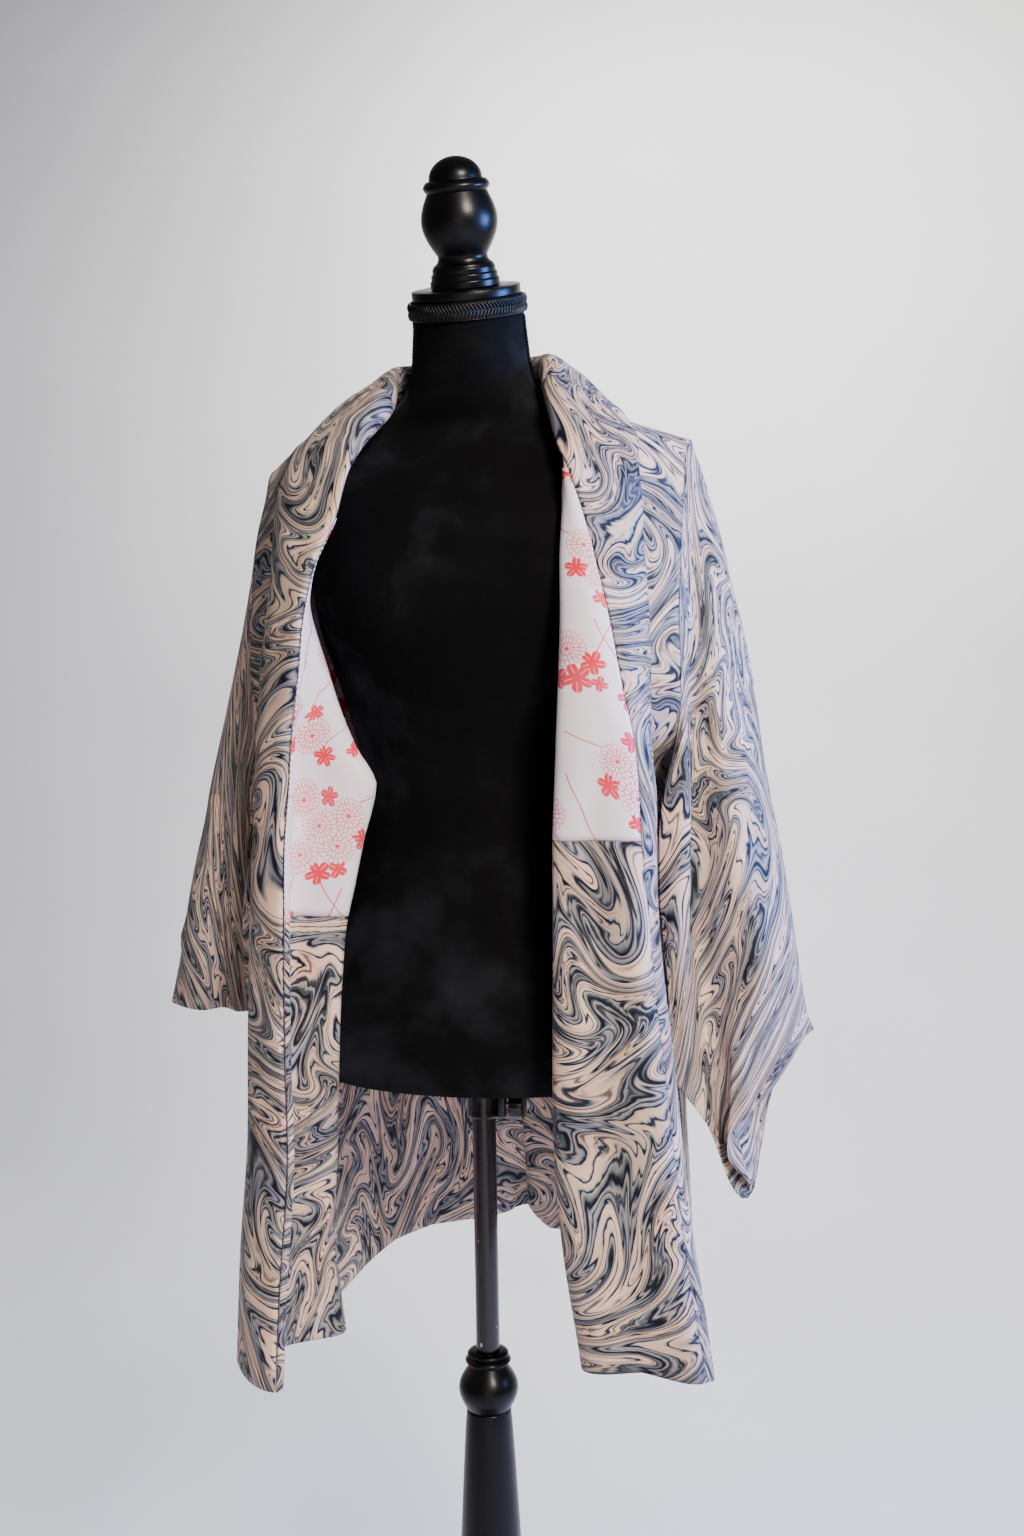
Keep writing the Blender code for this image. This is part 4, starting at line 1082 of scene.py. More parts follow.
@dataclass(frozen=True)
class FloweredSilk:
    """White lining silk printed in coral with chrysanthemums, leaves and long stems.

    Attributes:
        repeat: Width and height of the print's repeat as drawn, in metres.
        enlarged: Size of the print on the cloth against the drawing.
        prints: The motifs of one repeat.
        stems: Fine straight stems, each (x, y) to (x, y) in the repeat.
        weave: Threads for each metre.
    """

    repeat: tuple[float, float] = (0.125, 0.21)
    enlarged: float = 0.86
    prints: tuple[Print, ...] = (
        Print(Motif.LEAVES, 0.082, 0.150, 0.0120, 5, 0.6),
        Print(Motif.LEAVES, 0.044, 0.113, 0.0125, 5, 0.2),
        Print(Motif.LEAVES, 0.062, 0.119, 0.0100, 4, 0.7),
        Print(Motif.LEAVES, 0.051, 0.192, 0.0105, 5, 0.9),
        Print(Motif.CHRYSANTHEMUM, 0.021, 0.189, 0.0190, 23),
        Print(Motif.CHRYSANTHEMUM, 0.070, 0.173, 0.0170, 20, 0.5),
        Print(Motif.CHRYSANTHEMUM, 0.024, 0.130, 0.0175, 19, 0.6),
        Print(Motif.CHRYSANTHEMUM, 0.058, 0.141, 0.0180, 21, 0.2),
        Print(Motif.CHRYSANTHEMUM, 0.040, 0.162, 0.0195, 22, 0.3),
        Print(Motif.LEAVES, 0.076, 0.057, 0.0125, 5, 0.4),
        Print(Motif.LEAVES, 0.091, 0.041, 0.0145, 5, 0.1),
        Print(Motif.LEAVES, 0.111, 0.044, 0.0115, 4, 0.8),
        Print(Motif.LEAVES, 0.071, 0.036, 0.0085, 4, 0.3),
        Print(Motif.CHRYSANTHEMUM, 0.100, 0.071, 0.0185, 22, 0.1),
        Print(Motif.LEAVES, 0.042, 0.024, 0.0130, 6, 0.5),
        Print(Motif.LEAVES, 0.014, 0.066, 0.0105, 5, 0.2),
        Print(Motif.CHRYSANTHEMUM, 0.023, 0.042, 0.0185, 21, 0.2),
    )
    stems: tuple[tuple[float, float, float, float], ...] = (
        (0.048, 0.104, 0.086, 0.052), (0.022, 0.112, 0.008, 0.072), (0.082, 0.186, 0.112, 0.206),
        (0.040, 0.036, 0.070, 0.100), (0.104, 0.088, 0.120, 0.165),
    )
    weave: float = 2600.0

    def make(self) -> bpy.types.Material:
        """Build the material; it reads the cloth's own flat cut in metres.

        Returns:
            The material.
        """
        shader = Shader("flowered_silk")
        cut = shader.add("UVMap", uv_map="cut").outputs[0]
        drawn = shader.warped(shader.scaled(cut, 1.0 / self.enlarged), 24.0, 0.0105)
        drawn = shader.vector("MULTIPLY", drawn, (1.0, 1.0, 0.0))
        place = shader.vector("WRAP", drawn, (*self.repeat, 1.0), (0.0, 0.0, 0.0))
        ink: object = 0.0
        tint: object = 0.0
        for motif in self.prints:
            lines, area = motif.draw(shader, place)
            ink = shader.math("MAXIMUM", lines, shader.math("MULTIPLY", ink, shader.math("SUBTRACT", 1.0, area)))
            tint = shader.math("MAXIMUM", tint, area)
        for stem in self.stems:
            line = self.stem(shader, place, stem)
            ink = shader.math("MAXIMUM", ink, shader.math("MULTIPLY", line, shader.math("SUBTRACT", 1.0, tint)))
        shade = shader.noise(cut, 26.0, 2.0)
        ground = shader.ramp(shade, ((0.3, "#f0e5ed"), (0.7, "#f8eff5")))
        coral = shader.ramp(shade, ((0.35, "#ea2231"), (0.65, "#ee4a60")))
        ground = shader.mix(shader.math("MULTIPLY", tint, 0.22), ground, linear("#f7d3d8"))
        shader.set(Base_Color=shader.mix(ink, ground, coral))
        silk_surface(shader, cut, self.weave, 0.42, 0.2)
        return shader.material

    @staticmethod
    def stem(shader: Shader, place: object, ends: tuple[float, float, float, float]) -> object:
        """Mask of a nearly straight stem 1.1 mm wide between two places of the repeat.

        Args:
            shader: The shader to add to.
            place: Place in the repeat, in metres.
            ends: x and y of both ends.

        Returns:
            The mask.
        """
        x0, y0, x1, y1 = ends
        length = math.hypot(x1 - x0, y1 - y0)
        along = ((x1 - x0) / length, (y1 - y0) / length, 0.0)
        from_start = shader.vector("SUBTRACT", place, (x0, y0, 0.0))
        travelled = shader.vector("DOT_PRODUCT", from_start, along, out=1)
        aside = shader.vector("DOT_PRODUCT", from_start, (-along[1], along[0], 0.0), out=1)
        bowed = shader.math("MULTIPLY_ADD", shader.math("SINE", shader.math("MULTIPLY", travelled, 40.0)), 0.0015,
                            aside)
        on_line = shader.math("LESS_THAN", shader.math("ABSOLUTE", bowed), 0.00055)
        between = shader.math("MULTIPLY", shader.math("GREATER_THAN", travelled, 0.0),
                              shader.math("LESS_THAN", travelled, length))
        return shader.math("MULTIPLY", on_line, between)


@dataclass(frozen=True)
class Velvet:
    """Black pile cloth glued over the form.

    Attributes:
        pile: Tufts for each metre.
        brushed: Size of the patches where the pile lies another way, in patches for each metre; these patches get
            more sheen weight, and their base colour is painted lighter grey-blue as painted sheen.
    """

    pile: float = 900.0
    brushed: float = 7.0

    def make(self) -> bpy.types.Material:
        """Build the material on object coordinates.

        Returns:
            The material.
        """
        shader = Shader("black_velvet")
        place = shader.add("TexCoord").outputs["Object"]
        sheen_patches = shader.noise(shader.warped(place, 9.0, 0.06), self.brushed, 4.0, 0.62)
        tufts = shader.noise(place, self.pile, 2.0)
        # Painted sheen: the base colour is painted lighter grey-blue in the patches to stand in for the sheen of
        # pile that lies another way; the sheen weight rises there too.
        painted_sheen_tone = shader.ramp(sheen_patches, ((0.40, "#020203"), (0.50, "#060607"), (0.60, "#131417"), (0.74, "#1d1f25")))
        lying = shader.math("MULTIPLY_ADD", sheen_patches, 5.0, -2.4, clamp=True)
        shader.set(Base_Color=painted_sheen_tone, Roughness=0.92, Specular_IOR_Level=0.12, Sheen_Weight=lying,
                   Sheen_Roughness=0.4, Sheen_Tint=linear("#646d80"))
        shader.bump(tufts, 0.5, 0.0006)
        return shader.material


@dataclass(frozen=True)
class Gimp:
    """Black plaited cord of dull rayon.

    Attributes:
        thread: Threads for each metre.
    """

    thread: float = 1600.0

    def make(self) -> bpy.types.Material:
        """Build the material on object coordinates.

        Returns:
            The material.
        """
        shader = Shader("black_gimp")
        place = shader.add("TexCoord").outputs["Object"]
        threads = shader.noise(shader.vector("MULTIPLY", place, (1.0, 1.0, 2.2)), self.thread, 1.0)
        shader.set(Base_Color=shader.ramp(threads, ((0.3, "#020203"), (0.7, "#08080a"))), Roughness=0.42,
                   Specular_IOR_Level=0.4)
        shader.bump(threads, 0.6, 0.0003)
        return shader.material


@dataclass(frozen=True)
class Lacquer:
    """Black satin lacquer over turned wood.

    Attributes:
        roughness: Roughness of the clean surface.
        grain: Rings of the wood under the lacquer, for each metre.
    """

    roughness: float = 0.33
    grain: float = 70.0

    def make(self) -> bpy.types.Material:
        """Build the material on object coordinates.

        Returns:
            The material.
        """
        shader = Shader("black_lacquer")
        place = shader.add("TexCoord").outputs["Object"]
        wood = shader.noise(shader.vector("MULTIPLY", place, (1.0, 1.0, 0.12)), self.grain * 4, 3.0, 0.6)
        haze = shader.noise(place, 38.0, 3.0, 0.6)
        worn = shader.math("GREATER_THAN", shader.noise(place, 210.0, 2.0, 0.7), 0.735)
        colour = shader.ramp(haze, ((0.3, "#020203"), (0.7, "#060607")))
        shader.set(Base_Color=shader.mix(shader.math("MULTIPLY", worn, 0.35), colour, linear("#3a3532")))
        gloss = shader.math("MULTIPLY_ADD", haze, 0.16, self.roughness - 0.08)
        shader.set(Roughness=gloss, Coat_Weight=0.04, Coat_Roughness=0.15, Specular_IOR_Level=0.22)
        shader.bump(wood, 0.16, 0.0004)
        return shader.material


@dataclass(frozen=True)
class PaintedMetal:
    """Gloss black paint on steel tube, with small chips near the joints.

    Attributes:
        roughness: Roughness of the paint.
    """

    roughness: float = 0.22

    def make(self) -> bpy.types.Material:
        """Build the material on object coordinates.

        Returns:
            The material.
        """
        shader = Shader("painted_metal")
        place = shader.add("TexCoord").outputs["Object"]
        height = shader.add("SeparateXYZ", {0: place}).outputs[2]
        low = shader.math("MULTIPLY_ADD", height, -12.0, 7.45, clamp=True)
        chips = shader.noise(shader.vector("MULTIPLY", place, (1.0, 1.0, 0.45)), 260.0, 1.0)
        chipped = shader.math("GREATER_THAN", shader.math("MULTIPLY_ADD", low, 0.07, chips), 0.80)
        scuffs = shader.noise(shader.vector("MULTIPLY", place, (1.0, 1.0, 0.06)), 500.0, 2.0)
        black = shader.ramp(scuffs, ((0.35, "#09090b"), (0.75, "#151518")))
        shader.set(Base_Color=shader.mix(chipped, black, linear("#b9bbc0")),
                   Roughness=shader.math("MULTIPLY_ADD", scuffs, 0.2, self.roughness - 0.06),
                   Metallic=shader.math("MULTIPLY", chipped, 0.9), Coat_Weight=0.25, Coat_Roughness=0.1)
        shader.bump(scuffs, 0.08, 0.0003)
        return shader.material


@dataclass(frozen=True)
class BrightSteel:
    """Bare zinc-plated screw."""

    roughness: float = 0.28

    def make(self) -> bpy.types.Material:
        """Build the material on object coordinates.

        Returns:
            The material.
        """
        shader = Shader("bright_steel")
        place = shader.add("TexCoord").outputs["Object"]
        brushed = shader.noise(shader.vector("MULTIPLY", place, (0.2, 1.0, 1.0)), 1800.0, 2.0)
        shader.set(Base_Color=shader.ramp(brushed, ((0.3, "#9a9ca1"), (0.7, "#c9cbcf"))), Metallic=1.0,
                   Roughness=shader.math("MULTIPLY_ADD", brushed, 0.2, self.roughness - 0.1))
        shader.bump(brushed, 0.1, 0.0001)
        return shader.material


@dataclass(frozen=True)
class Thread:
    """Brown silk of the hand stitches along the band."""

    twist: float = 2500.0

    def make(self) -> bpy.types.Material:
        """Build the material on object coordinates.

        Returns:
            The material.
        """
        shader = Shader("brown_thread")
        place = shader.add("TexCoord").outputs["Object"]
        twist = shader.noise(place, self.twist, 1.0)
        shader.set(Base_Color=shader.ramp(twist, ((0.3, "#5a4640"), (0.7, "#8b7468"))), Roughness=0.6)
        shader.bump(twist, 0.4, 0.0001)
        return shader.material


@dataclass(frozen=True)
class Finishes:
    """Every finish of the object, made once."""

    marbled: bpy.types.Material
    lining: bpy.types.Material
    velvet: bpy.types.Material
    gimp: bpy.types.Material
    lacquer: bpy.types.Material
    metal: bpy.types.Material
    steel: bpy.types.Material
    thread: bpy.types.Material

    @classmethod
    def mixed(cls) -> "Finishes":
        """Make all of them."""
        return cls(MarbledSilk().make(), FloweredSilk().make(), Velvet().make(), Gimp().make(), Lacquer().make(),
                   PaintedMetal().make(), BrightSteel().make(), Thread().make())


# ---------------- making pieces
def select_only(*objects: bpy.types.Object) -> None:
    """Select these objects alone, the first one active.

    Args:
        objects: What is selected.
    """
    for other in bpy.context.selected_objects:
        other.select_set(False)
    for chosen in objects:
        chosen.select_set(True)
    bpy.context.view_layer.objects.active = objects[0]


def dressed(piece: bpy.types.Object, body: str, finish: bpy.types.Material,
            nodes: Sequence[str] = ()) -> bpy.types.Object:
    """Give a finished piece its material, body and CAD nodes, and log it.

    Args:
        piece: The finished object.
        body: CAD body that it rides on.
        finish: Its first material.
        nodes: CAD nodes that it stands for.

    Returns:
        The same object.
    """
    if not piece.data.materials:
        piece.data.materials.append(finish)
    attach(piece, body)
    if nodes:
        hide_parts(*nodes)
    triangles = sum(len(polygon.vertices) - 2 for polygon in piece.data.polygons)
    LOG.info("%s: %d triangles on %s", piece.name, triangles, body)
    return piece


def cloth_mesh(name: str, sheet: Sheet, thickness: float, shift: tuple[float, float], outside: bpy.types.Material,
               inside: bpy.types.Material) -> bpy.types.Object:
    """A cloth shell of even thickness with the sheet at its middle.

    Args:
        name: Name of the piece.
        sheet: Its sheet in millimetres.
        thickness: Thickness in millimetres.
        shift: Where the print starts on this piece, in metres.
        outside: Material of the face away from the garment's inside, and of the rim.
        inside: Material of the face towards it.

    Returns:
        The new object, its modifiers applied.
    """
    rows, columns = sheet.points.shape[:2]
    index = np.arange(rows * columns).reshape(rows, columns)
    quads = np.stack([index[:-1, :-1], index[:-1, 1:], index[1:, 1:], index[1:, :-1]], axis=-1).reshape(-1, 4)
    corner = sheet.points.reshape(-1, 3)
    across = np.cross(corner[quads[:, 1]] - corner[quads[:, 0]], corner[quads[:, 3]] - corner[quads[:, 0]])
    if np.sum(across * sheet.normals.reshape(-1, 3)[quads[:, 0]]) > 0:
        quads = quads[:, ::-1]
    mesh = bpy.data.meshes.new(name)
    mesh.from_pydata((corner * MM).tolist(), [], quads.tolist())
    layer = mesh.uv_layers.new(name="cut")
    flat = (sheet.cut + np.array(shift)).reshape(-1, 2)
    corners = np.empty(len(mesh.loops), dtype=np.int32)
    mesh.loops.foreach_get("vertex_index", corners)
    layer.data.foreach_set("uv", flat[corners].ravel().astype(np.float32))
    mesh.shade_smooth()
    mesh.materials.append(outside)
    mesh.materials.append(inside)
    piece = bpy.data.objects.new(name, mesh)
    bpy.context.collection.objects.link(piece)
    select_only(piece)
    wall = piece.modifiers.new("wall", "SOLIDIFY")
    wall.thickness = thickness * MM
    wall.offset = 0.0
    wall.use_even_offset = False
    wall.material_offset = 1
    wall.material_offset_rim = 0
    bpy.ops.object.modifier_apply(modifier=wall.name)
    return piece


@dataclass(frozen=True)
class Cut:
    """What a maker cuts for a piece.

    Attributes:
        node: The CAD node, and the start of the piece's name.
        held: How the cloth is held; not used.
        rests_on: What it hangs from or lies on; not used.
        print_at: Where the dyed pattern starts on the piece, in metres.
    """

    node: str
    held: str
    rests_on: tuple[str, ...]
    print_at: tuple[float, float] = (0.0, 0.0)


@dataclass
class Haori:
    """The jacket: bodies, gussets, sleeves, band, linings and turn-ups.

    Attributes:
        cloth: Thickness of one layer, in millimetres.
        band: Thickness of the folded band, in millimetres.
        layer: Thickness of a lining or facing, in millimetres.
        lift: Clear space under a lining or facing, in millimetres.
        stitch: Length of a stitch along the band, in millimetres.
    """

    finishes: Finishes
    cloth: float = 1.0
    band: float = 2.2
    layer: float = 0.7
    lift: float = 0.45
    stitch: float = 2.6
    sides: dict[Side, HaoriSide] = field(init=False)

    def __post_init__(self) -> None:
        """Shape the sheets of both sides."""
        self.sides = {side: HaoriSide(side) for side in Side}

    def build(self) -> None:
        """Make every sewn piece."""
        for side, sheets in self.sides.items():
            self.build_body(side, sheets)
            self.build_band(side, sheets)
            self.build_lapel(side, sheets)
            self.build_stitches(side, sheets)
        self.build_neck_band()

    def piece(self, sheet: Sheet, thickness: float, cut: Cut, outside: bpy.types.Material,
              inside: bpy.types.Material | None = None, slot: str = "marbled") -> bpy.types.Object:
        """Make and dress one piece of cloth, and log the size it is cut.

        Args:
            sheet: Its sheet.
            thickness: Its thickness in millimetres.
            cut: What a maker cuts for it.
            outside: Material of its outer face.
            inside: Material of its inner face, the same where it isn't given.
            slot: Material slot of the record; not used.

        Returns:
            The finished piece.
        """
        made = cloth_mesh(f"{cut.node}_cloth", sheet, thickness, cut.print_at, outside, inside or outside)
        dressed(made, "form", outside, [cut.node])
        width, length = (float(extent) for extent in np.ptp(sheet.cut.reshape(-1, 2), axis=0))
        area = sheet.area()
        if area > width * length:
            width *= area / (width * length)
        LOG.info("%s is cut %.0f x %.0f mm, %.3f square metres", cut.node, 1000 * width, 1000 * length, area)
        return made

    def build_body(self, side: Side, sheets: HaoriSide) -> None:
        """Body, sleeve, gusset and the back's turned-up hem.

        Args:
            side: The wearer's side.
            sheets: The sheets of that side.
        """
        marbled, lining = self.finishes.marbled, self.finishes.lining
        start = 0.9 if side is Side.LEFT else 3.1
        body = sheets.body.part().drawn_back(SEAM_GAP / 2, "first_column")
        self.piece(body, self.cloth, Cut(f"body_{side.word}", "draped", ("torso",), (start, 0.37)), marbled, lining)
        self.piece(sheets.sleeve(), self.cloth,
                   Cut(f"sleeve_{side.word}", "hung", (f"body_{side.word}",), (start + 0.7, 4.6)), marbled)
        self.piece(sheets.gusset(), self.cloth,
                   Cut(f"gusset_{side.word}", "hung", (f"body_{side.word}",), (start + 1.4, 0.2)), marbled, lining)
        turn_up = sheets.body.part(slice(sheets.back_row(BACK_FACING), None))
        turn_up.drawn_back(SEAM_GAP * 1.5, "first_column", "last_column")
        self.piece(self.laid(turn_up), self.layer,
                   Cut(f"facing_back_{side.word}", "hung", (f"body_{side.word}",), (start + 0.1, 2.9)), marbled)

    def build_band(self, side: Side, sheets: HaoriSide) -> None:
        """The band from the hem up to the shoulder.

        Args:
            side: The wearer's side.
            sheets: The sheets of that side.
        """
        cut = sheets.row(COLLAR_CUT)
        band = sheets.front.part(slice(0, cut + 1), slice(0, sheets.column(SEAM) + 1))
        band.drawn_back(SEAM_GAP / 2, "last_row").drawn_back(2 * SEAM_GAP, "last_column")
        start = 5.2 if side is Side.LEFT else 6.4
        self.piece(band, self.band, Cut(f"collar_{side.word}", "draped", (f"body_{side.word}",), (start, 0.5)),
                   self.finishes.marbled)

    def build_lapel(self, side: Side, sheets: HaoriSide) -> None:
        """The lining and the facing on the turned-back lapel.

        Args:
            side: The wearer's side.
            sheets: The sheets of that side.
        """
        lapel = slice(sheets.column(SEAM), sheets.column(FOLD) + 4)
        middle, top = sheets.row(FACING_TOP[side]), sheets.row(LINING_TOP[side])
        facing = sheets.front.part(slice(0, middle + 1), lapel)
        facing.drawn_back(SEAM_GAP * 1.5, "first_column", "last_row")
        start = 7.3 if side is Side.LEFT else 8.5
        rests = (f"body_{side.word}",)
        self.piece(self.laid(facing), self.layer, Cut(f"facing_front_{side.word}", "hung", rests, (start, 0.9)),
                   self.finishes.marbled)
        lining = sheets.front.part(slice(middle, top + 1), lapel)
        lining.drawn_back(SEAM_GAP * 1.5, "first_column", "first_row")
        print_at = (0.0, 0.185) if side is Side.LEFT else (0.018, 0.046)
        self.piece(self.laid(lining), self.layer, Cut(f"lining_front_{side.word}", "hung", rests, print_at),
                   self.finishes.lining, slot="lining")

    def laid(self, sheet: Sheet) -> Sheet:
        """The sheet raised to lie on the inside of its panel."""
        return sheet.raised(self.cloth / 2 + self.lift + self.layer / 2)

    def build_neck_band(self) -> None:
        """The band's stretch round the back of the neck."""
        cut = {side: sheets.row(COLLAR_CUT) for side, sheets in self.sides.items()}
        left, right = (self.sides[side].front.part(slice(cut[side], None),
                                                   slice(0, self.sides[side].column(SEAM) + 1))
                       for side in Side)
        if left.points.shape[1] != right.points.shape[1]:
            right = resampled(right, left.points.shape[1])
        points = np.concatenate([left.points, right.points[-2::-1]])
        neck = Sheet(points, np.concatenate([left.normals, right.normals[-2::-1]]), Sheet.flat_cut(points))
        nape = len(left.points) - 1
        neck.normals[nape, :, 0] = 0.0
        neck.normals[:] = unit(neck.normals)
        neck.drawn_back(SEAM_GAP / 2, "first_row", "last_row").drawn_back(SEAM_GAP, "last_column")
        self.piece(neck, self.band, Cut("collar_neck", "draped", ("torso",), (9.4, 0.4)), self.finishes.marbled)

    def build_stitches(self, side: Side, sheets: HaoriSide) -> None:
        """A row of small slip stitches where the band meets the lapel's lining.

        Args:
            side: The wearer's side.
            sheets: The sheets of that side.
        """
        column = sheets.column(SEAM)
        rows = slice(4, sheets.row(LINING_TOP[side]))
        edge = sheets.front.points[rows, column] + 1.5 * sheets.front.normals[rows, column]
        aside = unit(sheets.front.points[rows, column + 1] - sheets.front.points[rows, column])
        out = sheets.front.normals[rows, column]
        travelled = np.concatenate([[0.0], np.cumsum(np.linalg.norm(np.diff(edge, axis=0), axis=1))])
        vertices, faces = [], []
        for start in np.arange(3.0, travelled[-1] - 4.0, self.stitch * 1.9):
            ends = [np.array([np.interp(at, travelled, edge[:, axis]) for axis in range(3)])
                    for at in (start, start + self.stitch)]
            near = int(np.searchsorted(travelled, start))
            lead = unit((ends[1] - ends[0])[None])[0]
            first = len(vertices)
            for share, swell in ((0.0, 0.25), (0.18, 0.85), (0.5, 1.0), (0.82, 0.85), (1.0, 0.25)):
                middle = ends[0] + share * (ends[1] - ends[0]) + aside[near] * 0.5
                side_way = unit(np.cross(lead, out[near])[None])[0]
                for turn in range(6):
                    angle = turn * math.pi / 3
                    ring = 0.42 * math.cos(angle) * side_way + 0.34 * math.sin(angle) * out[near]
                    vertices.append(middle + swell * ring)
            for ring in range(4):
                for turn in range(6):
                    after = (turn + 1) % 6
                    low, high = first + ring * 6, first + ring * 6 + 6
                    faces.append((low + turn, low + after, high + after, high + turn))
            faces.append(tuple(first + turn for turn in range(5, -1, -1)))
            faces.append(tuple(first + 24 + turn for turn in range(6)))
        mesh = bpy.data.meshes.new(f"band_stitches_{side.word}")
        mesh.from_pydata((np.array(vertices) * MM).tolist(), [], faces)
        piece = bpy.data.objects.new(mesh.name, mesh)
        bpy.context.collection.objects.link(piece)
        turn_outwards(piece)
        mesh.shade_smooth()
        dressed(piece, "form", self.finishes.thread)


def resampled(sheet: Sheet, columns: int) -> Sheet:
    """The sheet with another number of columns.

    Args:
        sheet: The sheet as it is.
        columns: How many columns it gets.

    Returns:
        The new sheet.
    """
    at = np.linspace(0.0, sheet.points.shape[1] - 1.0, columns)
    low = np.minimum(at.astype(int), sheet.points.shape[1] - 2)
    share = (at - low)[None, :, None]
    points, normals, cut = ((1 - share) * grid[:, low] + share * grid[:, low + 1]
                            for grid in (sheet.points, sheet.normals, sheet.cut))
    return Sheet(points, unit(normals), cut)


def turn_outwards(piece: bpy.types.Object) -> None:
    """Turn every face of a closed piece outwards.

    Args:
        piece: The piece to mend.
    """
    select_only(piece)
    bpy.ops.object.mode_set(mode="EDIT")
    bpy.ops.mesh.select_all(action="SELECT")
    bpy.ops.mesh.normals_make_consistent(inside=False)
    bpy.ops.object.mode_set(mode="OBJECT")


# ---------------- form and stand
def arc(start: tuple[float, float], end: tuple[float, float], bulge: float, steps: int) -> list[tuple[float, float]]:
    """Profile points of a bulging stretch between two (radius, height) points."""
    return [(start[0] + (end[0] - start[0]) * s + bulge * math.sin(math.pi * s), start[1] + (end[1] - start[1]) * s)
            for s in np.linspace(0.0, 1.0, steps + 1)[1:]]


def along_neck(distance: float) -> Point:
    """Place on the neck's slanted axis at a distance above its top, in millimetres."""
    return (NECK_TOP[0], NECK_TOP[1] - distance * math.sin(NECK_TILT), NECK_TOP[2] + distance * math.cos(NECK_TILT))


def turned(name: str, profile: Sequence[tuple[float, float]], sides: int = 96, foot: Point = (0.0, 0.0, 0.0),
           tilt: float = 0.0, round_edges: float = 0.0) -> bpy.types.Object:
    """Turn a piece on the lathe: a disc extruded and scaled from ring to ring.

    Args:
        name: Name of the piece.
        profile: (radius, height) in millimetres from the bottom to the top.
        sides: Sides of its rings.
        foot: Where the axis starts, in millimetres.
        tilt: Lean of the axis towards the front, in radians.
        round_edges: Width of the bevel on hard edges, in millimetres.

    Returns:
        The finished object at the origin.
    """
    select_only_none()
    radius, height = profile[0]
    bpy.ops.mesh.primitive_circle_add(vertices=sides, radius=radius * MM, fill_type="NGON",
                                      location=(0.0, 0.0, height * MM))
    piece = bpy.context.object
    piece.name = piece.data.name = name
    bpy.ops.object.transform_apply(location=True, rotation=False, scale=False)
    bpy.ops.object.mode_set(mode="EDIT")
    bpy.ops.mesh.select_all(action="SELECT")
    for next_radius, next_height in profile[1:]:
        bpy.ops.mesh.extrude_region_move(TRANSFORM_OT_translate={"value": (0.0, 0.0, (next_height - height) * MM)})
        share = next_radius / radius
        bpy.ops.transform.resize(value=(share, share, 1.0), center_override=(0.0, 0.0, next_height * MM))
        radius, height = next_radius, next_height
    bpy.ops.object.mode_set(mode="OBJECT")
    turn_outwards(piece)
    if round_edges:
        bevel = piece.modifiers.new("round", "BEVEL")
        bevel.width = round_edges * MM
        bevel.segments = 3
        bevel.angle_limit = math.radians(38)
        bpy.ops.object.modifier_apply(modifier=bevel.name)
    bpy.ops.object.shade_smooth_by_angle(angle=math.radians(38))
    lean = Matrix.Translation(Vector(foot) * MM) @ Matrix.Rotation(tilt, 4, "X")
    piece.data.transform(lean)
    return piece


def select_only_none() -> None:
    """Deselect everything."""
    for other in bpy.context.selected_objects:
        other.select_set(False)


def finer(profile: Sequence[tuple[float, float]], steps: int) -> list[tuple[float, float]]:
    """A smooth profile through the points of a coarse one."""
    points = np.array([(radius, 0.0, height) for radius, height in profile])
    return [(float(p[0]), float(p[2])) for p in smooth_line(points, [steps] * (len(points) - 1))]


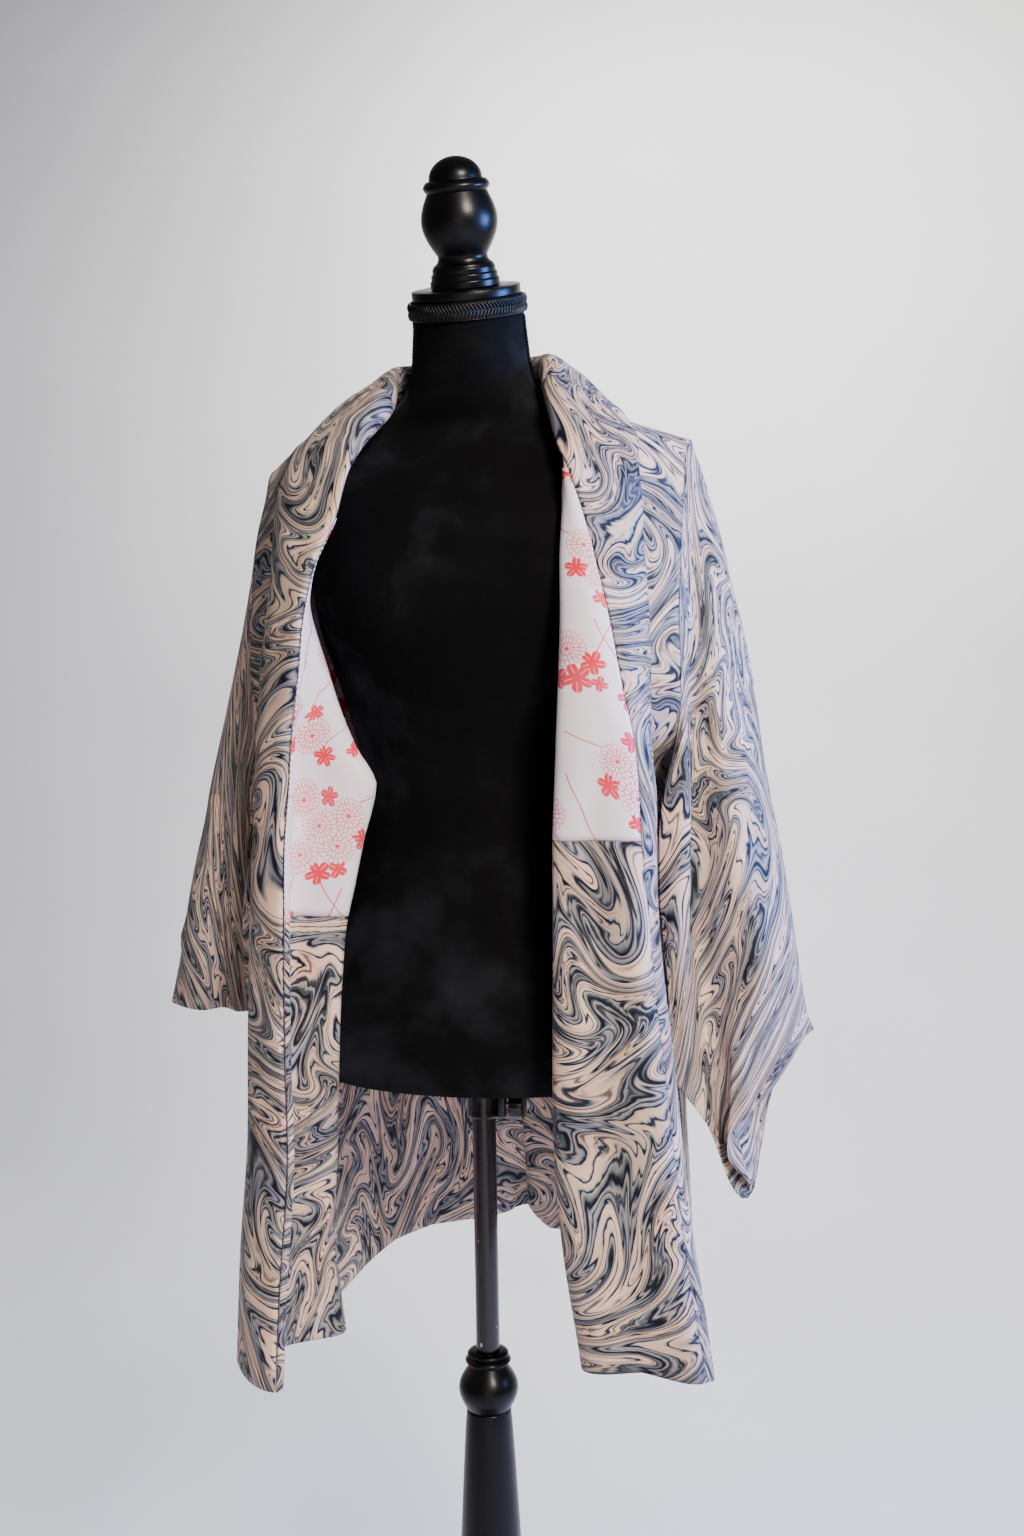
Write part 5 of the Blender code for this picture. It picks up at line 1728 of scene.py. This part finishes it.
@dataclass
class Stand:
    """Pole, turned ball, turned column and round base.

    Attributes:
        pole_radius: Radius of the steel tube, in millimetres.
        pole_span: Its lowest and highest point, in millimetres.
        base_radius: Radius of the base, in millimetres.
    """

    finishes: Finishes
    pole_radius: float = 10.9
    pole_span: tuple[float, float] = (560.3, 955.0)
    base_radius: float = 190.0

    def build(self) -> None:
        """Make the four parts."""
        low, high = self.pole_span
        r = self.pole_radius
        pole = turned("pole_tube", [(r - 0.6, low), (r, low + 0.6), (r, 640.0), (r, 760.0), (r, high - 1.2),
                                    (r - 0.35, high - 0.35), (r - 1.2, high)], 64)
        dressed(pole, "stand", self.finishes.metal, ["pole"])
        ball = turned("turned_ball", self.ball_profile(), 96)
        dressed(ball, "stand", self.finishes.lacquer, ["ball"])
        column = turned("turned_column", self.column_profile(), 96, round_edges=0.5)
        dressed(column, "stand", self.finishes.lacquer, ["column"])
        base = turned("round_base", self.base_profile(), 160, round_edges=0.6)
        dressed(base, "stand", self.finishes.lacquer, ["base"])

    @staticmethod
    def ball_profile() -> list[tuple[float, float]]:
        """Ball with the two rings above it that grip the pole."""
        return ([(18.4, 506.0), (20.6, 506.8)] + arc((20.6, 506.8), (17.2, 546.6), 8.5, 26)
                + [(17.3, 547.4)] + arc((17.3, 547.4), (18.2, 554.4), 3.4, 9)
                + [(17.4, 554.9)] + arc((17.4, 554.9), (16.6, 559.6), 2.1, 7) + [(13.8, 560.0), (11.6, 560.0)])

    @staticmethod
    def column_profile() -> list[tuple[float, float]]:
        """Column that swells below the ball and stands on a collar."""
        swell = finer([(22.5, 90.0), (25.5, 150.0), (29.5, 230.0), (31.0, 300.0), (29.5, 350.0), (27.0, 400.0),
                       (24.3, 450.0), (21.5, 495.0)], 5)
        return ([(24.0, 34.3), (26.5, 35.0)] + arc((26.5, 35.0), (26.5, 50.0), 6.4, 12)
                + arc((26.5, 50.0), (22.6, 66.0), -2.0, 6) + swell + [(20.9, 500.0), (20.6, 504.6), (19.6, 505.7)])

    def base_profile(self) -> list[tuple[float, float]]:
        """Low moulded disc on the floor."""
        r = self.base_radius
        return ([(r - 4.0, 0.0), (r - 0.8, 1.0), (r, 4.0), (r, 13.0)] + arc((r, 13.0), (r - 6.0, 19.0), 1.4, 4)
                + [(r - 9.0, 19.4)] + arc((r - 9.0, 19.4), (r - 34.0, 23.5), -1.0, 5)
                + arc((r - 34.0, 23.5), (88.0, 27.0), 0.5, 4) + arc((88.0, 27.0), (48.0, 30.0), -2.0, 5)
                + [(46.5, 31.0), (46.0, 33.2), (44.5, 34.0)])


@dataclass
class DressForm:
    """The limbless form: velvet body, neck trim, cap, finial and clamp.

    Attributes:
        sides: Sides of a section.
        rows_per_span: Rings between two sections of the table.
        braid_radius: Radius of the plaited trim's middle, in millimetres.
        plait: How far a cord of the plait bulges, in millimetres.
        crossings: Cords in a row round the neck.
    """

    finishes: Finishes
    sides: int = 128
    rows_per_span: int = 4
    braid_radius: float = 51.9
    plait: float = 0.95
    crossings: int = 102

    def build(self) -> None:
        """Make everything that slides on the pole."""
        self.build_torso()
        self.build_neck_braid()
        for side in Side:
            self.build_side_braid(side)
        self.build_cap_and_finial()
        self.build_clamp()

    def build_torso(self) -> None:
        """Velvet body: a ring extruded from section to section, with a bore for the pole."""
        table = np.array(FORM_SECTIONS, float)
        fine = smooth_line(table[:, None, :], [self.rows_per_span] * (len(table) - 1))[:, 0]
        select_only_none()
        bpy.ops.mesh.primitive_circle_add(vertices=self.sides, radius=BORE_RADIUS * MM,
                                          location=(0.0, 0.0, 1175.0 * MM), fill_type="NGON")
        torso = bpy.context.object
        torso.name = torso.data.name = "form_body"
        bpy.ops.object.transform_apply(location=True, rotation=False, scale=False)
        bpy.ops.object.mode_set(mode="EDIT")
        bpy.ops.mesh.select_all(action="SELECT")
        bpy.ops.mesh.extrude_region_move(TRANSFORM_OT_translate={"value": (0.0, 0.0, (819.5 - 1175.0) * MM)})
        rings = len(fine)
        for _ in range(rings):
            bpy.ops.mesh.extrude_region_move(TRANSFORM_OT_translate={"value": (0.0, 0.0, 0.001)})
        bpy.ops.object.mode_set(mode="OBJECT")
        mesh = torso.data
        place = np.empty(len(mesh.vertices) * 3)
        mesh.vertices.foreach_get("co", place)
        place = place.reshape(-1, 3)
        turns = np.arctan2(place[-self.sides:, 1], place[-self.sides:, 0])
        for row, (z, half_width, front, back, centre, tilt) in enumerate(fine):
            slope = math.radians(tilt)
            along = np.where(np.sin(turns) < 0, front, back) * np.sin(turns)
            ring = np.stack([half_width * np.cos(turns), centre + along * math.cos(slope),
                             z + along * math.sin(slope)], axis=1)
            start = len(place) - (rings - row) * self.sides
            place[start: start + self.sides] = ring * MM
        mesh.vertices.foreach_set("co", place.ravel())
        turn_outwards(torso)
        bpy.ops.object.shade_smooth_by_angle(angle=math.radians(40))
        dressed(torso, "form", self.finishes.velvet, ["torso"])

    def slanting(self, count: int, length: float, low: float, high: float, slant: float) -> list[Grid]:
        """Middle lines of the short slanting cords of one plaited row.

        Args:
            count: Number of cords.
            length: Length of the row, in millimetres.
            low: Lower edge of the row, in millimetres.
            high: Its upper edge.
            slant: How far a cord runs along the row from its lower to its upper end.

        Returns:
            For each cord its points (along, up, out) in millimetres.
        """
        share = np.linspace(0.0, 1.0, 6)
        out = self.plait * np.sin(math.pi * share)
        return [np.stack([length * (k + 0.5) / count + slant * (share - 0.5), low + (high - low) * share, out],
                         axis=1)
                for k in range(count)]

    def cords(self, name: str, lines: Sequence[Grid], closed: bool, thickness: float) -> bpy.types.Object:
        """One mesh of round cords along lines in millimetres.

        Args:
            name: Name of the piece.
            lines: Middle line of each cord.
            closed: Whether the cords are rings.
            thickness: Radius of a cord, in millimetres.

        Returns:
            The finished object.
        """
        curve = bpy.data.curves.new(name, "CURVE")
        curve.dimensions = "3D"
        curve.bevel_depth = thickness * MM
        curve.bevel_resolution = 1
        curve.use_fill_caps = not closed
        for line in lines:
            spline = curve.splines.new("POLY")
            points = line[:-1] if closed else line
            spline.points.add(len(points) - 1)
            spline.points.foreach_set("co", np.column_stack([points * MM, np.ones(len(points))]).ravel())
            spline.use_cyclic_u = closed
        cord = bpy.data.objects.new(name, curve)
        bpy.context.collection.objects.link(cord)
        select_only(cord)
        bpy.ops.object.convert(target="MESH")
        made = bpy.context.object
        turn_outwards(made)
        made.data.shade_smooth()
        return made

    def build_neck_braid(self) -> None:
        """Two plaited rows round the slanted top of the neck on a woven tape."""
        tape = turned("neck_tape",
                      [(50.7, -14.9), (51.5, -14.6), (51.6, -8.0), (51.6, -1.6), (51.4, -1.1), (50.7, -1.0)],
                      128, along_neck(0.0), NECK_TILT)
        dressed(tape, "form", self.finishes.gimp)
        length = 2 * math.pi * self.braid_radius
        lines = []
        for low, high, slant in ((-14.4, -8.2, 3.6), (-7.8, -1.8, -3.6)):
            for cord in self.slanting(self.crossings, length, low, high, slant):
                angle = cord[:, 0] / self.braid_radius
                radius = self.braid_radius + cord[:, 2]
                flat = np.stack([radius * np.cos(angle), radius * np.sin(angle), cord[:, 1]], axis=1)
                lines.append(self.on_neck(flat))
        rims = []
        for edge in (-14.6, -8.0, -1.4):
            angle = np.linspace(0.0, 2 * math.pi, 241)
            ring = np.stack([52.2 * np.cos(angle), 52.2 * np.sin(angle), np.full(241, edge)], axis=1)
            rims.append(self.on_neck(ring))
        braid = self.cords("neck_plait", lines, False, 0.95)
        rim = self.cords("neck_plait_rims", rims, True, 0.6)
        select_only(braid, rim)
        bpy.ops.object.join()
        dressed(braid, "form", self.finishes.gimp, ["neck_braid"])

    @staticmethod
    def on_neck(points: Grid) -> Grid:
        """Lean points about the neck's axis, from its own frame to the object's."""
        cosine, sine = math.cos(NECK_TILT), math.sin(NECK_TILT)
        return np.stack([points[:, 0], points[:, 1] * cosine - points[:, 2] * sine + NECK_TOP[1],
                         points[:, 1] * sine + points[:, 2] * cosine + NECK_TOP[2]], axis=1)

    def build_side_braid(self, side: Side) -> None:
        """A narrow plait down the side of the neck.

        Args:
            side: The side of the neck.
        """
        low, high = 1425.0, 1501.0
        lines = []
        for bottom, top, slant in ((-2.6, -0.1, 2.6), (0.1, 2.6, -2.6)):
            for cord in self.slanting(26, high - low, bottom, top, slant):
                z = low + cord[:, 0]
                half_width = np.array([form_section(height)[0] for height in z])
                centre = np.array([form_section(height)[3] for height in z])
                lines.append(np.stack([side.value * (half_width + 0.5 + 0.7 * cord[:, 2]), centre + cord[:, 1], z],
                                      axis=1))
        plait = self.cords(f"side_plait_{side.word}", lines, False, 0.85)
        dressed(plait, "form", self.finishes.gimp, [f"side_braid_{side.word}"])

    def build_cap_and_finial(self) -> None:
        """The slanted disc on the neck and the turned finial on it."""
        cap = [(46.5, 0.3), (48.0, 0.6), (48.5, 1.2), (48.5, 7.7), (48.2, 8.2), (47.4, 8.5)]
        cap_piece = turned("cap_disc", cap, 128, along_neck(0.0), NECK_TILT, 0.3)
        dressed(cap_piece, "form", self.finishes.lacquer, ["neck_cap"])
        profile = ([(30.4, 0.0), (31.0, 0.7), (31.0, 5.0)] + arc((31.0, 5.0), (29.6, 7.0), 0.5, 3)
                   + [(29.6, 10.4)] + arc((29.6, 10.4), (28.2, 12.2), 0.5, 3) + [(28.0, 14.8)]
                   + arc((28.0, 14.8), (27.3, 17.2), 0.5, 3) + [(26.6, 19.0)]
                   + arc((26.6, 19.0), (22.6, 22.6), -0.8, 4)
                   + arc((22.6, 22.6), (22.2, 27.0), -0.5, 3) + arc((22.2, 27.0), (26.4, 78.6), 9.2, 30)
                   + [(26.8, 79.0)] + arc((26.8, 79.0), (26.2, 88.0), 2.6, 11) + [(24.4, 88.4), (23.6, 88.9)]
                   + [(23.4 * math.cos(angle), 89.0 + 18.8 * math.sin(angle))
                      for angle in np.linspace(0.05, 1.52, 22)])
        finial = turned("turned_finial", profile, 96, along_neck(9.1), NECK_TILT)
        dressed(finial, "form", self.finishes.lacquer, ["finial"])

    def build_clamp(self) -> None:
        """Split sleeve, bracket, bright screw and thumb knob below the form."""
        sleeve = turned("clamp_sleeve", [(11.3, 779.0), (13.9, 779.2), (14.6, 780.0), (14.6, 784.0), (14.2, 784.8),
                                         (14.2, 812.0), (14.8, 813.0), (14.8, 818.6), (14.2, 819.4), (11.3, 819.6)],
                        72)
        dressed(sleeve, "form", self.finishes.metal, ["clamp"])
        select_only_none()
        bpy.ops.mesh.primitive_cube_add(size=1.0, location=(17.4 * MM, 0.0, SCREW_HEIGHT * MM))
        bracket = bpy.context.object
        bracket.name = bracket.data.name = "clamp_lug"
        bracket.scale = (7.6 * MM, 10.0 * MM, 23.5 * MM)
        bpy.ops.object.transform_apply(location=True, rotation=False, scale=True)
        bpy.ops.object.mode_set(mode="EDIT")
        bpy.ops.mesh.select_all(action="SELECT")
        bpy.ops.mesh.bevel(offset=1.6 * MM, segments=4, affect="EDGES")
        bpy.ops.object.mode_set(mode="OBJECT")
        turn_outwards(bracket)
        bpy.ops.object.shade_smooth_by_angle(angle=math.radians(30))
        dressed(bracket, "form", self.finishes.metal, ["clamp_bracket"])
        shank = turned("clamp_screw", [(2.2, 0.0), (2.4, 0.3), (2.4, 4.6), (2.2, 4.8)], 24)
        knob = turned("thumb_knob", [(11.0, 0.0), (12.6, 0.5), (13.2, 1.6), (13.2, 10.6), (12.8, 12.2), (11.2, 13.2),
                                     (6.0, 13.6)], 72)
        self.flute(knob, 18, 0.6)
        lay_down = Matrix.Rotation(math.radians(90.0), 4, "Y")
        for piece, start in ((shank, 20.6), (knob, 25.0)):
            piece.data.transform(Matrix.Translation((start * MM, 0.0, SCREW_HEIGHT * MM)) @ lay_down)
        dressed(shank, "form", self.finishes.steel)
        dressed(knob, "form", self.finishes.metal, ["thumb_screw"])

    @staticmethod
    def flute(piece: bpy.types.Object, grooves: int, depth: float) -> None:
        """Press grip grooves round a knob before it is laid down."""
        for vertex in piece.data.vertices:
            radius = math.hypot(vertex.co.x, vertex.co.y)
            if radius > 10.0 * MM:
                angle = math.atan2(vertex.co.y, vertex.co.x)
                share = 1.0 - depth * MM * (0.5 + 0.5 * math.cos(grooves * angle)) / radius
                vertex.co.x *= share
                vertex.co.y *= share


# ---------------- studio
@dataclass(frozen=True)
class Lamp:
    """A soft square light.

    Attributes:
        name: Name of the light.
        place: Where it hangs, in metres.
        aim: What it points at, in metres.
        size: Its width in metres.
        watts: Its power.
        colour: Its sRGB colour.
    """

    name: str
    place: Point
    aim: Point
    size: float
    watts: float
    colour: str


@dataclass
class Studio:
    """Pale floor and wall, soft lights and the camera.

    Attributes:
        turn: Camera's turn about the pole, in degrees.
        distance: Its distance from the pole, in metres.
        aside: Its shift to the side, in metres.
        height: Its height, in metres.
        pitch: Its look downwards, in degrees.
        roll: Its roll, in degrees.
    """

    turn: float = 12.0
    distance: float = 1.357
    aside: float = 0.0309
    height: float = 1.160
    pitch: float = math.degrees(math.atan(68.0 / (1536.0 * 35.0 / 36.0)))
    roll: float = 0.93
    lamps: tuple[Lamp, ...] = (
        Lamp("key", (1.35, -1.75, 2.3), (0.06, 0.0, 1.05), 0.6, 98.0, "#fff2e8"),
        Lamp("window_right", (1.7, 0.1, 1.5), (0.1, 0.0, 1.0), 0.7, 80.0, "#7aa2ff"),
        Lamp("fill", (0.6, -2.6, 0.8), (0.05, 0.0, 0.85), 1.6, 8.0, "#fff0e2"),
        Lamp("backdrop", (0.0, 1.3, 2.6), (0.0, 2.8, 0.9), 1.8, 106.0, "#ffffff"),
    )

    def build(self) -> None:
        """Set the whole studio up."""
        self.build_floor()
        self.build_world()
        for lamp in self.lamps:
            self.hang(lamp)
        self.place_camera()

    def build_floor(self) -> None:
        """A plain pale floor that sweeps up into a wall behind the object."""
        profile = [(-6.0, 0.0), (1.6, 0.0)]
        profile += [(1.6 + 1.2 * math.sin(a), 1.2 - 1.2 * math.cos(a)) for a in np.linspace(0.15, math.pi / 2, 12)]
        profile += [(2.8, 6.0)]
        vertices = [(x, y, z - 0.0005) for y, z in profile for x in (-8.0, 8.0)]
        faces = [(2 * k, 2 * k + 1, 2 * k + 3, 2 * k + 2) for k in range(len(profile) - 1)]
        mesh = bpy.data.meshes.new("studio_floor")
        mesh.from_pydata(vertices, [], faces)
        mesh.shade_smooth()
        shader = Shader("pale_paper")
        place = shader.add("TexCoord").outputs["Object"]
        cloudy = shader.noise(place, 1.4, 3.0)
        shader.set(Base_Color=shader.ramp(cloudy, ((0.3, "#dcdad6"), (0.7, "#e4e2de"))), Roughness=0.9)
        mesh.materials.append(shader.material)
        floor = bpy.data.objects.new("studio_floor", mesh)
        bpy.context.collection.objects.link(floor)

    @staticmethod
    def build_world() -> None:
        """Even pale light from all round."""
        world = bpy.data.worlds.new("studio")
        bpy.context.scene.world = world
        world.use_nodes = True
        background = world.node_tree.nodes["Background"]
        background.inputs["Color"].default_value = linear("#e6ebf6")
        background.inputs["Strength"].default_value = 0.13

    @staticmethod
    def hang(lamp: Lamp) -> None:
        """Hang one light and aim it.

        Args:
            lamp: The light to hang.
        """
        data = bpy.data.lights.new(lamp.name, "AREA")
        data.energy = lamp.watts
        data.size = lamp.size
        data.color = linear(lamp.colour)[:3]
        light = bpy.data.objects.new(lamp.name, data)
        light.location = lamp.place
        light.rotation_euler = (Vector(lamp.aim) - Vector(lamp.place)).to_track_quat("-Z", "Y").to_euler()
        bpy.context.collection.objects.link(light)

    def place_camera(self) -> None:
        """A portrait view from the front, a little to the wearer's left."""
        turn, pitch, roll = (math.radians(angle) for angle in (self.turn, self.pitch, self.roll))
        cosine, sine = math.cos(turn), math.sin(turn)
        forward = Vector((-sine * math.cos(pitch), cosine * math.cos(pitch), -math.sin(pitch)))
        right = Vector((cosine, sine, 0.0))
        up = right.cross(forward)
        rolled_right = right * math.cos(roll) - up * math.sin(roll)
        rolled_up = up * math.cos(roll) + right * math.sin(roll)
        place = Vector((self.aside * cosine + self.distance * sine, self.aside * sine - self.distance * cosine,
                        self.height))
        camera = bpy.data.objects.new("camera", bpy.data.cameras.new("camera"))
        camera.matrix_world = Matrix((
            (rolled_right.x, rolled_up.x, -forward.x, place.x),
            (rolled_right.y, rolled_up.y, -forward.y, place.y),
            (rolled_right.z, rolled_up.z, -forward.z, place.z),
            (0.0, 0.0, 0.0, 1.0),
        ))
        camera.data.lens = 35.0
        camera.data.sensor_width = 36.0
        camera.data.sensor_fit = "AUTO"
        camera.data.clip_end = 40.0
        bpy.context.collection.objects.link(camera)
        bpy.context.scene.camera = camera


def main() -> None:
    """Build the stand, the form, the haori and the studio."""
    logging.basicConfig(level=logging.INFO, format="%(name)s: %(message)s")
    finishes = Finishes.mixed()
    Studio().build()
    Stand(finishes).build()
    DressForm(finishes).build()
    Haori(finishes).build()


if __name__ == "__main__":
    main()
